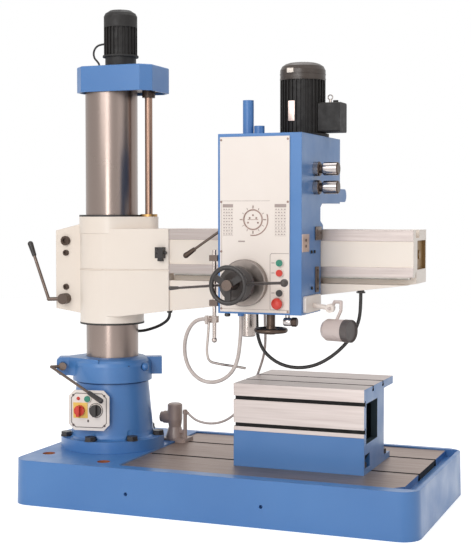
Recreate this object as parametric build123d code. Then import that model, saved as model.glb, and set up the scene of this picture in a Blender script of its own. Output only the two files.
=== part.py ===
from build123d import *
import math
import os

# Radial arm drill at real size, in millimetres.
# Origin on the floor under the column axis, +X along the arm, +Y to the back, +Z up.

# Shared fits
RUN_FIT = 0.05
GAP = 0.3

# Base casting
BASE_LEFT = -227.0
BASE_RIGHT = 1360.0
BASE_HALF_DEPTH = 414.0
BASE_TOP = 171.0
BASE_DRAFT = 1.2
BASE_CORNER = 70.0
BASE_WALL = 25.0
GROUND_Z = 165.0
GROUND_LEFT = 208.0
GROUND_RIGHT = 1290.0
GROUND_FRONT = -335.0
GROUND_BACK = 385.0
GUTTER_Z = 140.0
GUTTER_WIDTH = 23.0
GUTTER_RIGHT = 1341.0
GUTTER_CORNER = 36.0
RIB = 20.0
RIB_CEILING = 105.0
RIB_COLUMNS = 9
RIB_ROWS = 5
BASE_SLOT_ROWS = (-84.0, 192.0)
BASE_SLOT_MOUTH = 18.0
BASE_SLOT_UNDERCUT = 30.0
BASE_SLOT_NECK = 15.0
BASE_SLOT_DEPTH = 28.0
ANCHOR_PLACES = ((-150.0, 255.0), (126.0, 321.0))
ANCHOR_SEAT_R = 25.0
ANCHOR_SEAT_DEPTH = 60.0
ANCHOR_HOLE_R = 11.0
ANCHOR_BOSS_R = 42.0
COLUMN_SEAT_R = 60.0
PLUG_HOLE_R = 7.0
PLUG_HOLE_X = (264.0, 797.0)
PLUG_HOLE_Z = 77.0

# Pedestal and its bolts
FLANGE_R = 209.0
FLANGE_THICK = 46.0
NECK_R = 165.0
NECK_Z = 235.0
PEDESTAL_TOP_R = 145.0
PEDESTAL_TOP = 441.0
PEDESTAL_FLOOR = 11.0
GROOVE = 6.0
PEDESTAL_BOLTS = 7
PEDESTAL_BOLT_START = -142.0
PEDESTAL_BOLT_PCR = 190.0
BOLT_R = 12.0
BOLT_FLATS_R = 20.0
BOLT_HEAD = 15.0
BOLT_DEPTH = 42.0
BEARING_THICK = 18.0
BEARING_BALLS = 16

# Column
COLUMN_R = 105.0
COLUMN_BORE_R = 85.0
COLUMN_TOP = 1606.0

# Clamp ring on the pedestal
RING_TOP = 537.0
RING_R = 160.0
RING_TURN = 27.33
RING_EAR_REACH = 224.0
RING_LUG_REACH = 200.0
RING_EAR_HALF = 30.0
RING_SCREW_U = -200.0
RING_SCREW_Z = 500.0
RING_SCREW_R = 12.0
DOME_NUT_U = 130.0

# Switch box on the pedestal
SWITCH_TURN = 8.29
SWITCH_LEFT = -118.0
SWITCH_RIGHT = 51.0
SWITCH_LOW = 259.5
SWITCH_HIGH = 418.5
SWITCH_FRONT = -190.0
SWITCH_PANEL = 6.0
SWITCH_CORNER = 24.0
SWITCH_INSET = 8.0
ISOLATOR_AT = (-70.0, 338.0)
SELECTOR_AT = (-4.0, 340.0)
START_AT = (-37.0, 385.0)
KNOB_STEM_R = 5.0
ISOLATOR_R = 21.0
SELECTOR_R = 23.0

# Box table
TABLE_LEFT = 604.0
TABLE_RIGHT = 1111.0
TABLE_FRONT = -186.0
TABLE_BODY_BACK = 98.0
TABLE_BACK = 236.0
TABLE_TOP = 477.0
TABLE_PLATE = 30.0
TABLE_WALL = 30.0
TABLE_END_WALL = 25.0
TABLE_ROOF = 54.0
WINDOW_BACK = 0.0
WINDOW_LOW = 275.0
TABLE_FOOT_BACK = 190.0
TABLE_FOOT = 22.0
TABLE_SLOT_MOUTH = 14.0
TABLE_SLOT_UNDERCUT = 24.0
TABLE_SLOT_NECK = 11.0
TABLE_SLOT_DEPTH = 20.0
TABLE_FRONT_SLOTS = (323.0, 424.0)
TABLE_TOP_SLOTS = (-62.0, 82.0)
TABLE_GROUND_LOW = 301.0
TABLE_SET_BACK = 1.5
TABLE_BOLT_FRONT = -140.0
TABLE_BOLT_BACK = 145.0
TABLE_BOLT_INSET = 26.0
BOLT_POCKET_HALF = 34.0
BOLT_POCKET_HIGH = 50.0

# Coolant pump
PUMP_X = 190.0
PUMP_Y = 195.0
PUMP_R = 31.0
PUMP_TOP = 322.0
PUMP_STUB_X = 243.0
PUMP_STUB_Y = 180.0
PUMP_STUB_TOP = 300.0
PUMP_ELBOW = 20.0
PUMP_ELBOW_SLOPE = 40.0

# Top cap and lifting drive
CAP_LEFT = -114.0
CAP_RIGHT = 219.5
CAP_HALF_DEPTH = 116.0
CAP_LOW = COLUMN_TOP - 10.0
CAP_TOP = CAP_LOW + 103.0
CAP_WALL = 8.0
CAP_ROOF = 18.0
CAP_CHAMFER = 38.0
CAP_PLATE = 12.0
LIFT_MODULE = 3.75
LIFT_TEETH = 44
SCREW_TEETH = 22
SCREW_X = 166.0
SCREW_R = 15.0
SCREW_END = 925.0
COLLAR_R = 26.0
COLLAR_LOW = CAP_LOW - 21.0
LIFT_GEAR_LOW = COLUMN_TOP + 26.0
LIFT_GEAR_FACE = 24.0
LIFT_SHAFT_R = 12.0
LIFT_MOTOR_R = 67.0
LIFT_MOTOR_FOOT_R = 72.0
LIFT_MOTOR_TOP = CAP_TOP + 227.0
LIFT_MOTOR_NECK_TOP = CAP_TOP + 41.0
LIFT_COWL_LOW = CAP_TOP + 159.0

# Arm and its sleeve
SLEEVE_R = 131.5
SLEEVE_LOWER_R = 129.0
SLEEVE_LOW = 669.0
SLEEVE_TOP = 1101.0
SLEEVE_STEP = 1034.0
SLEEVE_GROOVE_Z = 891.0
LUG_R = 38.0
EAR_LEFT = -238.0
EAR_LOW = 708.0
EAR_HIGH = 1072.0
EAR_OUT = 38.0
SLIT = 6.0
EAR_BOLT_X = -190.0
EAR_BIG_BOLT_Z = 1002.5
EAR_LEVER_Z = 766.0
EAR_SMALL_BOLTS = (814.0, 953.0)
WIPER = 7.0
ARM_FRONT = -80.0
ARM_PAD = 2.5
FAIRING_BITE = 0.8
ARM_BACK = 130.0
ARM_END = 1264.0
ARM_TOP = 1053.4
ARM_START = 90.0
GUIDE_START = 290.0
UPPER_GUIDE = 41.0
LOWER_GUIDE_TOP = 916.0
LOWER_GUIDE_LOW = 880.0
RECESS_LOW = 852.0
RECESS_DEPTH = 28.0
RECESS_DEEP = 50.0
DOVETAIL_RISE = 22.0
WEB_SET_BACK = 5.0
UNDERSIDE = ((90.0, 706.0), (285.0, 731.0), (476.0, 753.0), (1264.0, 855.0))
TOP_GROOVE = (-40.0, 17.0)
TOP_GROOVE_Z = 1024.0
ARM_CORES = 5
CORE_FRONT = 30.0
CORE_WALL = 25.0
END_RECESS = (-15.0, 118.0, 907.0, 1014.0)
END_RECESS_DEEP = 24.0
NUT_R = 26.0
NUT_FLANGE_R = 34.0
NUT_FLANGE = 10.0
NUT_LENGTH = 62.0

# Rack and traverse pinion
TRAVERSE_MODULE = 2.0
TRAVERSE_TEETH = 10
RACK_FRONT = -78.0
RACK_BACK = -60.0
RACK_LEFT = 310.0
RACK_RIGHT = 1250.0

# Drilling head
HEAD_LEFT = 591.0
HEAD_RIGHT = 912.0
HEAD_FRONT = -305.0
HEAD_BACK = 169.0
HEAD_LOW = 750.0
HEAD_TOP = 1403.0
HEAD_STEP = 1152.0
HEAD_WALL = 12.0
SHOE_BACK = -51.0
SHOE_THICK = 17.0
TAIL_BACK = 283.0
TAIL_LOW = HEAD_STEP + 7.0
TAIL_HIGH = TAIL_LOW + 51.0
PANEL_THICK = 6.0
PANEL_LEFT = HEAD_LEFT + 10.0
PANEL_RIGHT = HEAD_RIGHT - 44.0
PANEL_LOW = HEAD_LOW + 7.0
PANEL_HIGH = HEAD_TOP - 12.0

# Spindle, quill and feed
SPINDLE_X = 650.0
SPINDLE_Y = -150.0
QUILL_R = 30.0
QUILL_LOW = 668.0
QUILL_TOP = 1050.0
NOSE_R = 27.0
NOSE_LOW = 652.5
SHAFT_R = 18.0
SHAFT_TOP = 900.0
SPLINE_R = 13.0
SPLINE_TOP = HEAD_TOP + 112.0
KEY_WIDTH = 5.0
KEY_HIGH = 2.0
TAPER_MOUTH_R = 15.6
TAPER_END_R = 12.6
TAPER_DEEP = 110.0
FEED_X = 702.0
FEED_Z = 864.0
FEED_MODULE = 3.0
FEED_TEETH = 18
FEED_FACE = 16.0
FEED_RACK_OFFSET = 25.0
FEED_TUBE_R = 14.0
HAND_SHAFT_R = 7.0
DIAL_R = 85.0
DIAL_THICK = 30.0
HUB_NECK_R = 40.0
HUB_R = 66.0
HUB_FRONT = -423.0
HUB_BACK = -395.0
LEVER_REACH = 213.0
LEVER_TIP_Y = -500.0
LEVER_TILT = 3.7
LEVER_R = 5.0
WHEEL_Y = -486.0
WHEEL_R = 71.0
WHEEL_RIM_R = 8.5
WHEEL_HUB_R = 19.0
FINE_X = 776.6
FINE_Y = -251.0
FINE_R = 62.0
FINE_LOW = 674.0
FINE_HIGH = 703.0
COVER_R = 20.5
COVER_TOP = HEAD_TOP + 133.0
FILLER_X = 694.0
FILLER_R = 19.5
FILLER_TOP = HEAD_TOP + 37.0

# Main drive
MOTOR_X = HEAD_RIGHT - 97.4
MOTOR_R = 86.4
MOTOR_FOOT_R = 100.0
MOTOR_BODY_TOP = HEAD_TOP + 214.0
MOTOR_TOP = HEAD_TOP + 280.0
MOTOR_SHAFT_R = 14.0
BOX_RIGHT = MOTOR_X + 160.4
BOX_LOW = HEAD_TOP + 16.0
BOX_HIGH = HEAD_TOP + 127.0
BOX_HALF = 45.0
DRIVE_MODULE = 3.5
MOTOR_TEETH = 20
LAY_TEETH = 50
LAY_SMALL_TEETH = 48
SPINDLE_TEETH = 24
UPPER_GEAR_Z = HEAD_TOP - 103.0
LOWER_GEAR_Z = HEAD_TOP - 178.0
DRIVE_FACE = 26.0
LAY_SHAFT_R = 14.0
LAY_BOSS = 22.0

# Knobs, buttons and levers on the head
KNOB_Y = -155.0
KNOB_HEIGHTS = (HEAD_TOP - 126.0, HEAD_TOP - 193.0)
KNOB_REACH = 92.0
BUTTON_R = 12.0
BUTTON_X = HEAD_RIGHT - 79.5
BUTTON_HEIGHTS = {"green_button": 937.0, "red_button": 901.0, "black_button": 829.0}
BUTTON_STEM_R = 5.0
BUTTON_TRAVEL = 4.0
STOP_AT = (HEAD_RIGHT - 87.0, 791.0)
STOP_R = 21.0
LOCK_HUB = (566.0, -150.0, 1064.0)
LOCK_TIP = (439.0, -150.0, 979.0)
LOCK_END = (402.0, -150.0, 954.0)

# Coolant rod
ROD_X = 574.0
ROD_Y = -300.0
ROD_R = 7.0
ROD_LOW = 650.0
ROD_TOP = 981.0
ROD_LUGS = (776.0, 940.0)
TAP_LOW = 714.0
TAP_HIGH = 738.0
NOZZLE_R = 4.5

# Work lamp
LAMP_PIVOT = (HEAD_RIGHT + 75.0, -200.0, 771.0)
LAMP_CENTRE = (HEAD_RIGHT + 92.0, -200.0, 692.0)
LAMP_TURN = -17.0
LAMP_BODY_R = 40.0
LAMP_MOUTH_R = 41.5

WAYS = {
    "x": Rot(0, 90, 0),
    "-x": Rot(0, -90, 0),
    "y": Rot(-90, 0, 0),
    "-y": Rot(90, 0, 0),
    "z": Rot(0, 0, 0),
    "-z": Rot(180, 0, 0),
}


def block(x0, x1, y0, y1, z0, z1):
    """A box between two corners."""
    middle = Pos((x0 + x1) / 2, (y0 + y1) / 2, (z0 + z1) / 2)
    return middle * Box(x1 - x0, y1 - y0, z1 - z0)


def disc(at, radius, length, way="z"):
    """A cylinder that starts at a point and runs along an axis."""
    return Pos(*at) * WAYS[way] * Pos(0, 0, length / 2) * Cylinder(radius, length)


def tube(at, outer, inner, length, way="z"):
    """A hollow cylinder."""
    return disc(at, outer, length, way) - disc(at, inner, length, way)


def turned(profile, at=(0, 0, 0), way="z"):
    """A solid of revolution from (radius, height) points."""
    outline = Plane.XZ * Polygon(*profile, align=None)
    return Pos(*at) * WAYS[way] * revolve(outline, Axis.Z)


def slab_x(points, x0, x1):
    """A (y, z) outline run along X."""
    plane = Plane(origin=(x0, 0, 0), x_dir=(0, 1, 0), z_dir=(1, 0, 0))
    return extrude(plane * Polygon(*points, align=None), x1 - x0, dir=(1, 0, 0))


def slab_y(points, y0, y1):
    """An (x, z) outline run along Y."""
    plane = Plane(origin=(0, y0, 0), x_dir=(1, 0, 0), z_dir=(0, -1, 0))
    return extrude(plane * Polygon(*points, align=None), y1 - y0, dir=(0, 1, 0))


def slab_z(points, z0, z1):
    """An (x, y) outline run along Z."""
    return extrude(Plane.XY.offset(z0) * Polygon(*points, align=None), z1 - z0, dir=(0, 0, 1))


def rod(start, end, radius):
    """A round bar between two points."""
    first = Vector(*start)
    along = Vector(*end) - first
    plane = Plane(origin=first, z_dir=along.normalized())
    return extrude(plane * Circle(radius), along.length, dir=along.normalized())


def taper(start, end, radius_0, radius_1):
    """A round tapered bar between two points."""
    first = Vector(*start)
    along = Vector(*end) - first
    plane = Plane(origin=first, z_dir=along.normalized())
    return plane * Pos(0, 0, along.length / 2) * Cone(radius_0, radius_1, along.length)


def hexagon(at, flats_radius, height, way="z"):
    """A hexagon head, measured from its middle to a flat."""
    outline = RegularPolygon(flats_radius, 6, major_radius=False)
    return Pos(*at) * WAYS[way] * extrude(outline, height, dir=(0, 0, 1))


def on_circle(count, radius, start=0.0):
    """Points evenly round the Z axis."""
    for index in range(count):
        angle = math.radians(start + 360.0 * index / count)
        yield radius * math.cos(angle), radius * math.sin(angle)


def tee_slot(mouth, undercut, neck, depth):
    """The (across, down) outline of a T-slot, from its mouth at zero."""
    half = mouth / 2
    wide = undercut / 2
    return ((-half, 1.0), (-half, -neck), (-wide, -neck), (-wide, -depth),
            (wide, -depth), (wide, -neck), (half, -neck), (half, 1.0))


TOOTH = ((-1.15, 0.27), (0.0, 0.19), (0.8, 0.10))


def gear(at, teeth, module, bore, face, phase=0.0):
    """A spur gear with straight flanks and generous backlash, its first tooth at a phase in degrees."""
    pitch = 360.0 / teeth
    points = []
    for index in range(teeth):
        flank = [(module * (teeth / 2 + rise), half * pitch) for rise, half in TOOTH]
        for radius, half in flank:
            points.append((radius, phase + index * pitch - half))
        for radius, half in reversed(flank):
            points.append((radius, phase + index * pitch + half))
    outline = [(r * math.cos(math.radians(a)), r * math.sin(math.radians(a))) for r, a in points]
    body = Pos(*at) * slab_z(outline, 0, face)
    return body - disc(at, bore, face) if bore else body


def rack_gaps(module, first, last, pitch_line, depth_way, centre):
    """The gap outlines of a rack, as (along, across) points between two ends."""
    pitch = math.pi * module
    low = math.ceil((first - centre) / pitch)
    high = math.floor((last - centre) / pitch)
    for index in range(low, high + 1):
        middle = centre + index * pitch
        sides = []
        for rise, half in ((1.5, TOOTH[2][1] - 0.07), (TOOTH[1][0], TOOTH[1][1]), (TOOTH[0][0], TOOTH[0][1])):
            sides.append((pitch * (0.5 - half), pitch_line + depth_way * module * rise))
        yield [(middle - w, c) for w, c in sides] + [(middle + w, c) for w, c in reversed(sides)]


def cord(name, points, diameter):
    """A tube of straight runs and tangent arcs, each arc as large as its runs allow."""
    corners = [Vector(*p) for p in points]
    radii = []
    for before, here, after in zip(corners, corners[1:], corners[2:]):
        first = here - before
        second = after - here
        turn = math.radians(first.get_angle(second))
        radii.append(0.45 * min(first.length, second.length) / math.tan(turn / 2))
    path = FilletPolyline(*corners, radius=radii)
    section = Plane(origin=path @ 0, z_dir=path % 0) * Circle(diameter / 2)
    body = sweep(section, path=path)
    expected = math.pi * diameter ** 2 / 4 * path.length
    print(name, "arc radii", [round(r) for r in radii], "length", round(path.length),
          "volume over section times length", round(body.volume / expected, 4))
    return body


def save(name, *shapes):
    """Write one node."""
    solids = []
    for shape in shapes:
        solids.extend(shape.solids())
    node = Compound(children=solids) if len(solids) > 1 else solids[0]
    node.label = name
    export_step(node, f"parts/{name}.step")


def base_slots():
    """The two T-slots in the base, open to the gutter on the right."""
    for row in BASE_SLOT_ROWS:
        shape = tee_slot(BASE_SLOT_MOUTH, BASE_SLOT_UNDERCUT, BASE_SLOT_NECK, BASE_SLOT_DEPTH)
        outline = [(row + across, GROUND_Z + down) for across, down in shape]
        yield slab_x(outline, GROUND_LEFT + 4, GROUND_RIGHT + 1)


def base_pockets():
    """The open cells between the ribs under the base."""
    bosses = [disc((x, side * y, 0), ANCHOR_BOSS_R, BASE_TOP) for x, y in ANCHOR_PLACES for side in (-1, 1)]
    bosses.append(disc((0, 0, 0), COLUMN_SEAT_R, BASE_TOP))
    long_side = BASE_RIGHT - BASE_LEFT - 2 * BASE_WALL
    short_side = 2 * (BASE_HALF_DEPTH - BASE_WALL)
    step_x = (long_side + RIB) / RIB_COLUMNS
    step_y = (short_side + RIB) / RIB_ROWS
    for column in range(RIB_COLUMNS):
        for row in range(RIB_ROWS):
            x = BASE_LEFT + BASE_WALL + column * step_x
            y = BASE_WALL - BASE_HALF_DEPTH + row * step_y
            cell = block(x, x + step_x - RIB, y, y + step_y - RIB, -1, RIB_CEILING)
            yield cell - bosses


def base_casting():
    """The ribbed base with its ground top, gutter, slots and holes."""
    middle = (BASE_LEFT + BASE_RIGHT) / 2
    outline = Pos(middle, 0) * RectangleRounded(BASE_RIGHT - BASE_LEFT, 2 * BASE_HALF_DEPTH, BASE_CORNER)
    body = extrude(outline, BASE_TOP, taper=BASE_DRAFT)
    front = GROUND_FRONT - GUTTER_WIDTH
    above = BASE_TOP + 1
    tools = [
        block(GROUND_LEFT, GUTTER_RIGHT, front, GROUND_BACK, GROUND_Z, above),
        block(GROUND_LEFT, GUTTER_RIGHT, front, GROUND_FRONT, GUTTER_Z, above),
        block(GROUND_RIGHT, GUTTER_RIGHT, front, GROUND_BACK, GUTTER_Z, above),
        slab_z(((GROUND_RIGHT - GUTTER_CORNER, GROUND_FRONT), (GROUND_RIGHT, GROUND_FRONT),
                (GROUND_RIGHT, GROUND_FRONT + GUTTER_CORNER)), GUTTER_Z, above),
    ]
    tools += list(base_slots())
    for x, y in ANCHOR_PLACES:
        for side in (-1, 1):
            tools.append(disc((x, side * y, -1), ANCHOR_HOLE_R, above + 1))
            tools.append(disc((x, side * y, BASE_TOP - ANCHOR_SEAT_DEPTH), ANCHOR_SEAT_R, ANCHOR_SEAT_DEPTH + 1))
    for x in PLUG_HOLE_X:
        tools.append(disc((x, -BASE_HALF_DEPTH - 5, PLUG_HOLE_Z), PLUG_HOLE_R, BASE_WALL, "y"))
    for x, y in on_circle(PEDESTAL_BOLTS, PEDESTAL_BOLT_PCR, PEDESTAL_BOLT_START):
        tools.append(disc((x, y, BASE_TOP - BOLT_DEPTH), BOLT_R, BOLT_DEPTH + 1))
    for x, y in table_bolt_places():
        tools.append(disc((x, y, GROUND_Z - BOLT_DEPTH), BOLT_R, BOLT_DEPTH + 1))
    body = body - list(base_pockets())
    return body - tools


def pedestal_outside():
    """The pedestal's outer shape with no bore."""
    top = BASE_TOP + FLANGE_THICK
    return turned((
        (0, BASE_TOP), (FLANGE_R, BASE_TOP), (FLANGE_R, top), (NECK_R + 17, top), (NECK_R + 5, top + 5),
        (NECK_R, NECK_Z), (PEDESTAL_TOP_R, PEDESTAL_TOP), (0, PEDESTAL_TOP)))


def pedestal():
    """The conical column pedestal with arched bolt pockets."""
    floor = BASE_TOP + PEDESTAL_FLOOR
    top = BASE_TOP + FLANGE_THICK
    tools = [
        disc((0, 0, floor), COLUMN_R + RUN_FIT, PEDESTAL_TOP),
        tube((0, 0, PEDESTAL_TOP - GROOVE), PEDESTAL_TOP_R + 20, PEDESTAL_TOP_R - GROOVE, GROOVE + 1),
    ]
    for x, y in on_circle(PEDESTAL_BOLTS, PEDESTAL_BOLT_PCR, PEDESTAL_BOLT_START):
        tools.append(disc((x, y, BASE_TOP - 1), BOLT_R + 1, FLANGE_THICK + 2))
        tools.append(disc((x, y, top), BOLT_FLATS_R + 8, 30))
        tools.append(Pos(x, y, top + 30) * Sphere(BOLT_FLATS_R + 8))
    return pedestal_outside() - tools


def table_bolt_places():
    """Where the box table is bolted down."""
    for x in (TABLE_LEFT + TABLE_BOLT_INSET, TABLE_RIGHT - TABLE_BOLT_INSET):
        for y in (TABLE_BOLT_FRONT, TABLE_BOLT_BACK):
            yield x, y


def bolt_down(x, y, seat, bottom):
    """A hexagon bolt whose head sits on a seat, with its washer."""
    washer = disc((x, y, seat), BOLT_FLATS_R + 3, 3)
    head = hexagon((x, y, seat + 3), BOLT_FLATS_R, BOLT_HEAD)
    return washer + head + disc((x, y, bottom), BOLT_R, seat - bottom)


def fixing_bolts():
    """The pedestal's and the table's bolts."""
    bolts = []
    for x, y in on_circle(PEDESTAL_BOLTS, PEDESTAL_BOLT_PCR, PEDESTAL_BOLT_START):
        bolts.append(bolt_down(x, y, BASE_TOP + FLANGE_THICK, BASE_TOP - BOLT_DEPTH))
    for x, y in table_bolt_places():
        bolts.append(bolt_down(x, y, GROUND_Z + TABLE_FOOT, GROUND_Z - BOLT_DEPTH))
    return bolts


def thrust_bearing():
    """Two races and a ring of balls under the column."""
    low = BASE_TOP + PEDESTAL_FLOOR
    race = 4.5
    ball = (BEARING_THICK - 2 * race) / 2 - 0.01
    parts = [
        tube((0, 0, low), COLUMN_R - 1, COLUMN_BORE_R - 12, race),
        tube((0, 0, low + BEARING_THICK - race), COLUMN_R - 1, COLUMN_BORE_R - 12, race),
    ]
    for x, y in on_circle(BEARING_BALLS, (COLUMN_R + COLUMN_BORE_R) / 2 - 6):
        parts.append(Pos(x, y, low + BEARING_THICK / 2) * Sphere(ball))
    return parts


def in_ring_frame(shape):
    """Turn a shape from the clamp ring's own frame into place."""
    return Rot(0, 0, RING_TURN) * shape


def clamp_ring():
    """The split clamp ring with its ear, its lug and a dome nut."""
    low = PEDESTAL_TOP
    ring = turned((
        (0, low), (RING_R, low), (RING_R, RING_TOP - 32), (RING_R - 4, RING_TOP - 19), (RING_R - 14, RING_TOP - 9),
        (RING_R - 30, RING_TOP - 3), (COLUMN_R + 4, RING_TOP), (0, RING_TOP)))
    side = [(-RING_EAR_REACH, -RING_EAR_HALF), (-176, -RING_EAR_HALF), (-56, -146)]
    ear = slab_z(side + [(x, -y) for x, y in reversed(side)], low + 20, RING_TOP - 3)
    ear = chamfer(ear.edges().filter_by(Axis.Y).sort_by(Axis.X)[:2], 12)
    lug = block(120, RING_LUG_REACH, -25, 25, low + 20, RING_TOP - 6)
    body = ring + in_ring_frame(ear + lug) - disc((0, 0, low - 1), COLUMN_R + RUN_FIT, 200)
    screw = (RING_SCREW_U, -RING_EAR_HALF - 1, RING_SCREW_Z)
    body = body - in_ring_frame(disc(screw, RING_SCREW_R + RUN_FIT, 2 * RING_EAR_HALF + 2, "y"))
    body = body - in_ring_frame(block(-RING_EAR_REACH - 1, -100, -2, 2, low - 1, RING_TOP + 1))
    seat = -math.sqrt(RING_R ** 2 - (DOME_NUT_U + 18) ** 2)
    nut_low = (DOME_NUT_U, seat, RING_SCREW_Z)
    nut = disc(nut_low, 17, 100 + seat, "-y") + Pos(DOME_NUT_U, -100, RING_SCREW_Z) * Sphere(16)
    hole = disc((DOME_NUT_U, seat, RING_SCREW_Z), 17, 130, "-y")
    return body - in_ring_frame(hole), in_ring_frame(nut)


def grip_start(corner, end, length):
    """The point on a lever's last run where its grip begins."""
    return tuple(end + (corner - end).normalized() * length)


def ring_lever_points():
    """The bent ring lever's corners in the ring's frame."""
    corner = Vector(-243.3, -66, 500)
    end = Vector(-46.2, -260, 390)
    return (RING_SCREW_U, -50, RING_SCREW_Z), tuple(corner), grip_start(corner, end, 70), tuple(end)


def ring_lever():
    """The clamp screw, its hub, nut and bent rod."""
    hub, corner, grip, _ = ring_lever_points()
    x, _, z = hub
    front = -RING_EAR_HALF - GAP
    body = disc((x, front, z), 16, 30, "-y") + disc((x, front, z), RING_SCREW_R, 2 * RING_EAR_HALF + 22, "y")
    body += hexagon((x, RING_EAR_HALF + GAP, z), 19, 16, "y")
    body += rod(hub, corner, 6.5) + Pos(*corner) * Sphere(6.5) + rod(corner, grip, 5.5)
    return in_ring_frame(body)


def ring_lever_grip():
    """The black grip on the ring lever."""
    _, _, start, end = ring_lever_points()
    return in_ring_frame(taper(start, end, 8.5, 10.5) + Pos(*end) * Sphere(10.5))


def switch_outline(inset=0.0):
    """The chamfered front outline of the switch box."""
    left = SWITCH_LEFT + inset
    right = SWITCH_RIGHT - inset
    low = SWITCH_LOW + inset
    high = SWITCH_HIGH - inset
    cut = SWITCH_CORNER
    return ((left + cut, low), (right - cut, low), (right, low + cut), (right, high - cut),
            (right - cut, high), (left + cut, high), (left, high - cut), (left, low + cut))


def in_switch_frame(shape):
    """Turn a shape from the switch box's own frame into place."""
    return Rot(0, 0, SWITCH_TURN) * shape


def switch_stems():
    """The stem holes of the three controls, as (x, z) places."""
    return ISOLATOR_AT, SELECTOR_AT, START_AT


def switch_box():
    """The box on the pedestal's face, open to its panel."""
    front = SWITCH_FRONT + SWITCH_PANEL
    body = slab_y(switch_outline(SWITCH_INSET), front, -90)
    body -= slab_y(switch_outline(SWITCH_INSET + 6), front - 1, front + 15)
    for x, z in switch_stems():
        body -= disc((x, front, z), KNOB_STEM_R + 3, 24, "y")
    return in_switch_frame(body) - pedestal_outside()


def switch_panel():
    """The thick panel with the yellow plate's seat and the stem holes."""
    body = slab_y(switch_outline(), SWITCH_FRONT, SWITCH_FRONT + SWITCH_PANEL)
    for x, z in switch_stems():
        body -= disc((x, SWITCH_FRONT - 1, z), KNOB_STEM_R + RUN_FIT, SWITCH_PANEL + 2, "y")
    x, z = START_AT
    body += tube((x, SWITCH_FRONT, z), BUTTON_R + 3, BUTTON_R + GAP, 6, "-y")
    return in_switch_frame(body)


def turn_knob(at, radius, reach, bar):
    """A round knob with a finger bar across it."""
    x, z = at
    front = SWITCH_FRONT - GAP
    body = disc((x, front, z), radius, reach - bar, "-y")
    body += block(x - radius * 0.3, x + radius * 0.3, front - reach, front - reach + bar, z - radius, z + radius)
    body += disc((x, front, z), KNOB_STEM_R, SWITCH_PANEL + 8, "y")
    return in_switch_frame(body)


def start_button():
    """The green push button on the switch panel."""
    x, z = START_AT
    back = SWITCH_FRONT - BUTTON_TRAVEL - 0.5
    body = disc((x, back, z), BUTTON_R, 7, "-y") + disc((x, back, z), KNOB_STEM_R, BUTTON_TRAVEL + 12, "y")
    return in_switch_frame(body)


def table_cavity():
    """The table's hollow and its end windows."""
    roof = TABLE_TOP - TABLE_ROOF
    front = TABLE_FRONT + TABLE_WALL
    inside = block(TABLE_LEFT + TABLE_END_WALL, TABLE_RIGHT - TABLE_END_WALL, front, TABLE_BODY_BACK - TABLE_WALL,
                   GROUND_Z + TABLE_WALL, roof)
    windows = block(TABLE_LEFT - 1, TABLE_RIGHT + 1, front, WINDOW_BACK, WINDOW_LOW, roof)
    return [inside, windows]


def box_table():
    """The box table with T-slots on its top and front."""
    foot = GROUND_Z + TABLE_FOOT
    plate = TABLE_TOP - TABLE_PLATE
    outline = (
        (TABLE_FRONT, GROUND_Z), (TABLE_FOOT_BACK, GROUND_Z), (TABLE_FOOT_BACK, foot), (TABLE_BODY_BACK, foot),
        (TABLE_BODY_BACK, plate), (TABLE_BACK, plate), (TABLE_BACK, TABLE_TOP), (TABLE_FRONT, TABLE_TOP))
    body = slab_x(outline, TABLE_LEFT, TABLE_RIGHT)
    shape = tee_slot(TABLE_SLOT_MOUTH, TABLE_SLOT_UNDERCUT, TABLE_SLOT_NECK, TABLE_SLOT_DEPTH)
    tools = table_cavity()
    tools.append(block(TABLE_LEFT - 1, TABLE_RIGHT + 1, TABLE_FRONT - 1, TABLE_FRONT + TABLE_SET_BACK,
                       GROUND_Z - 1, TABLE_GROUND_LOW))
    for row in TABLE_TOP_SLOTS:
        tools.append(slab_x([(row + a, TABLE_TOP + d) for a, d in shape], TABLE_LEFT - 1, TABLE_RIGHT + 1))
    for row in TABLE_FRONT_SLOTS:
        tools.append(slab_x([(TABLE_FRONT - d, row + a) for a, d in shape], TABLE_LEFT - 1, TABLE_RIGHT + 1))
    for x, y in table_bolt_places():
        tools.append(disc((x, y, GROUND_Z - 1), BOLT_R + 1, TABLE_FOOT + 2))
    for x0, x1 in ((TABLE_LEFT - 1, TABLE_LEFT + 55), (TABLE_RIGHT - 55, TABLE_RIGHT + 1)):
        tools.append(block(x0, x1, TABLE_BOLT_FRONT - BOLT_POCKET_HALF, TABLE_BOLT_FRONT + BOLT_POCKET_HALF,
                           foot, foot + BOLT_POCKET_HIGH))
    return body - tools


def pump_exit(further=0.0):
    """Where the pump's elbow ends, or a point further along its direction."""
    slope = math.radians(PUMP_ELBOW_SLOPE)
    reach = PUMP_ELBOW + further
    return (PUMP_STUB_X + reach * math.cos(slope), PUMP_STUB_Y, PUMP_STUB_TOP - 4 - reach * math.sin(slope))


def pump_unit():
    """The coolant pump on its foot, with its motor lobe and outlet stub."""
    foot = BASE_TOP + 9
    body = block(146, 254, 152, 238, BASE_TOP, foot) + block(GROUND_LEFT + 1, 254, 152, 238, GROUND_Z, foot)
    body += turned(((0, foot), (40, foot), (26, foot + 45), (PUMP_R, foot + 75), (PUMP_R, PUMP_TOP - 5),
                    (PUMP_R - 8, PUMP_TOP), (0, PUMP_TOP)), (PUMP_X, PUMP_Y, 0))
    body += disc((PUMP_X, PUMP_Y, 262), 22, 62, "-x") + disc((PUMP_X, PUMP_Y, 262), 26, 48, "-x")
    body += disc((PUMP_STUB_X, PUMP_STUB_Y, foot), 8, PUMP_STUB_TOP - foot)
    body += disc((PUMP_STUB_X, PUMP_STUB_Y, PUMP_STUB_TOP - 18), 10, 14)
    body += rod((PUMP_STUB_X, PUMP_STUB_Y, PUMP_STUB_TOP - 4), pump_exit(), 6)
    body += rod((PUMP_X, PUMP_Y, 205), (PUMP_STUB_X, PUMP_STUB_Y, 205), 9)
    return body


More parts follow.
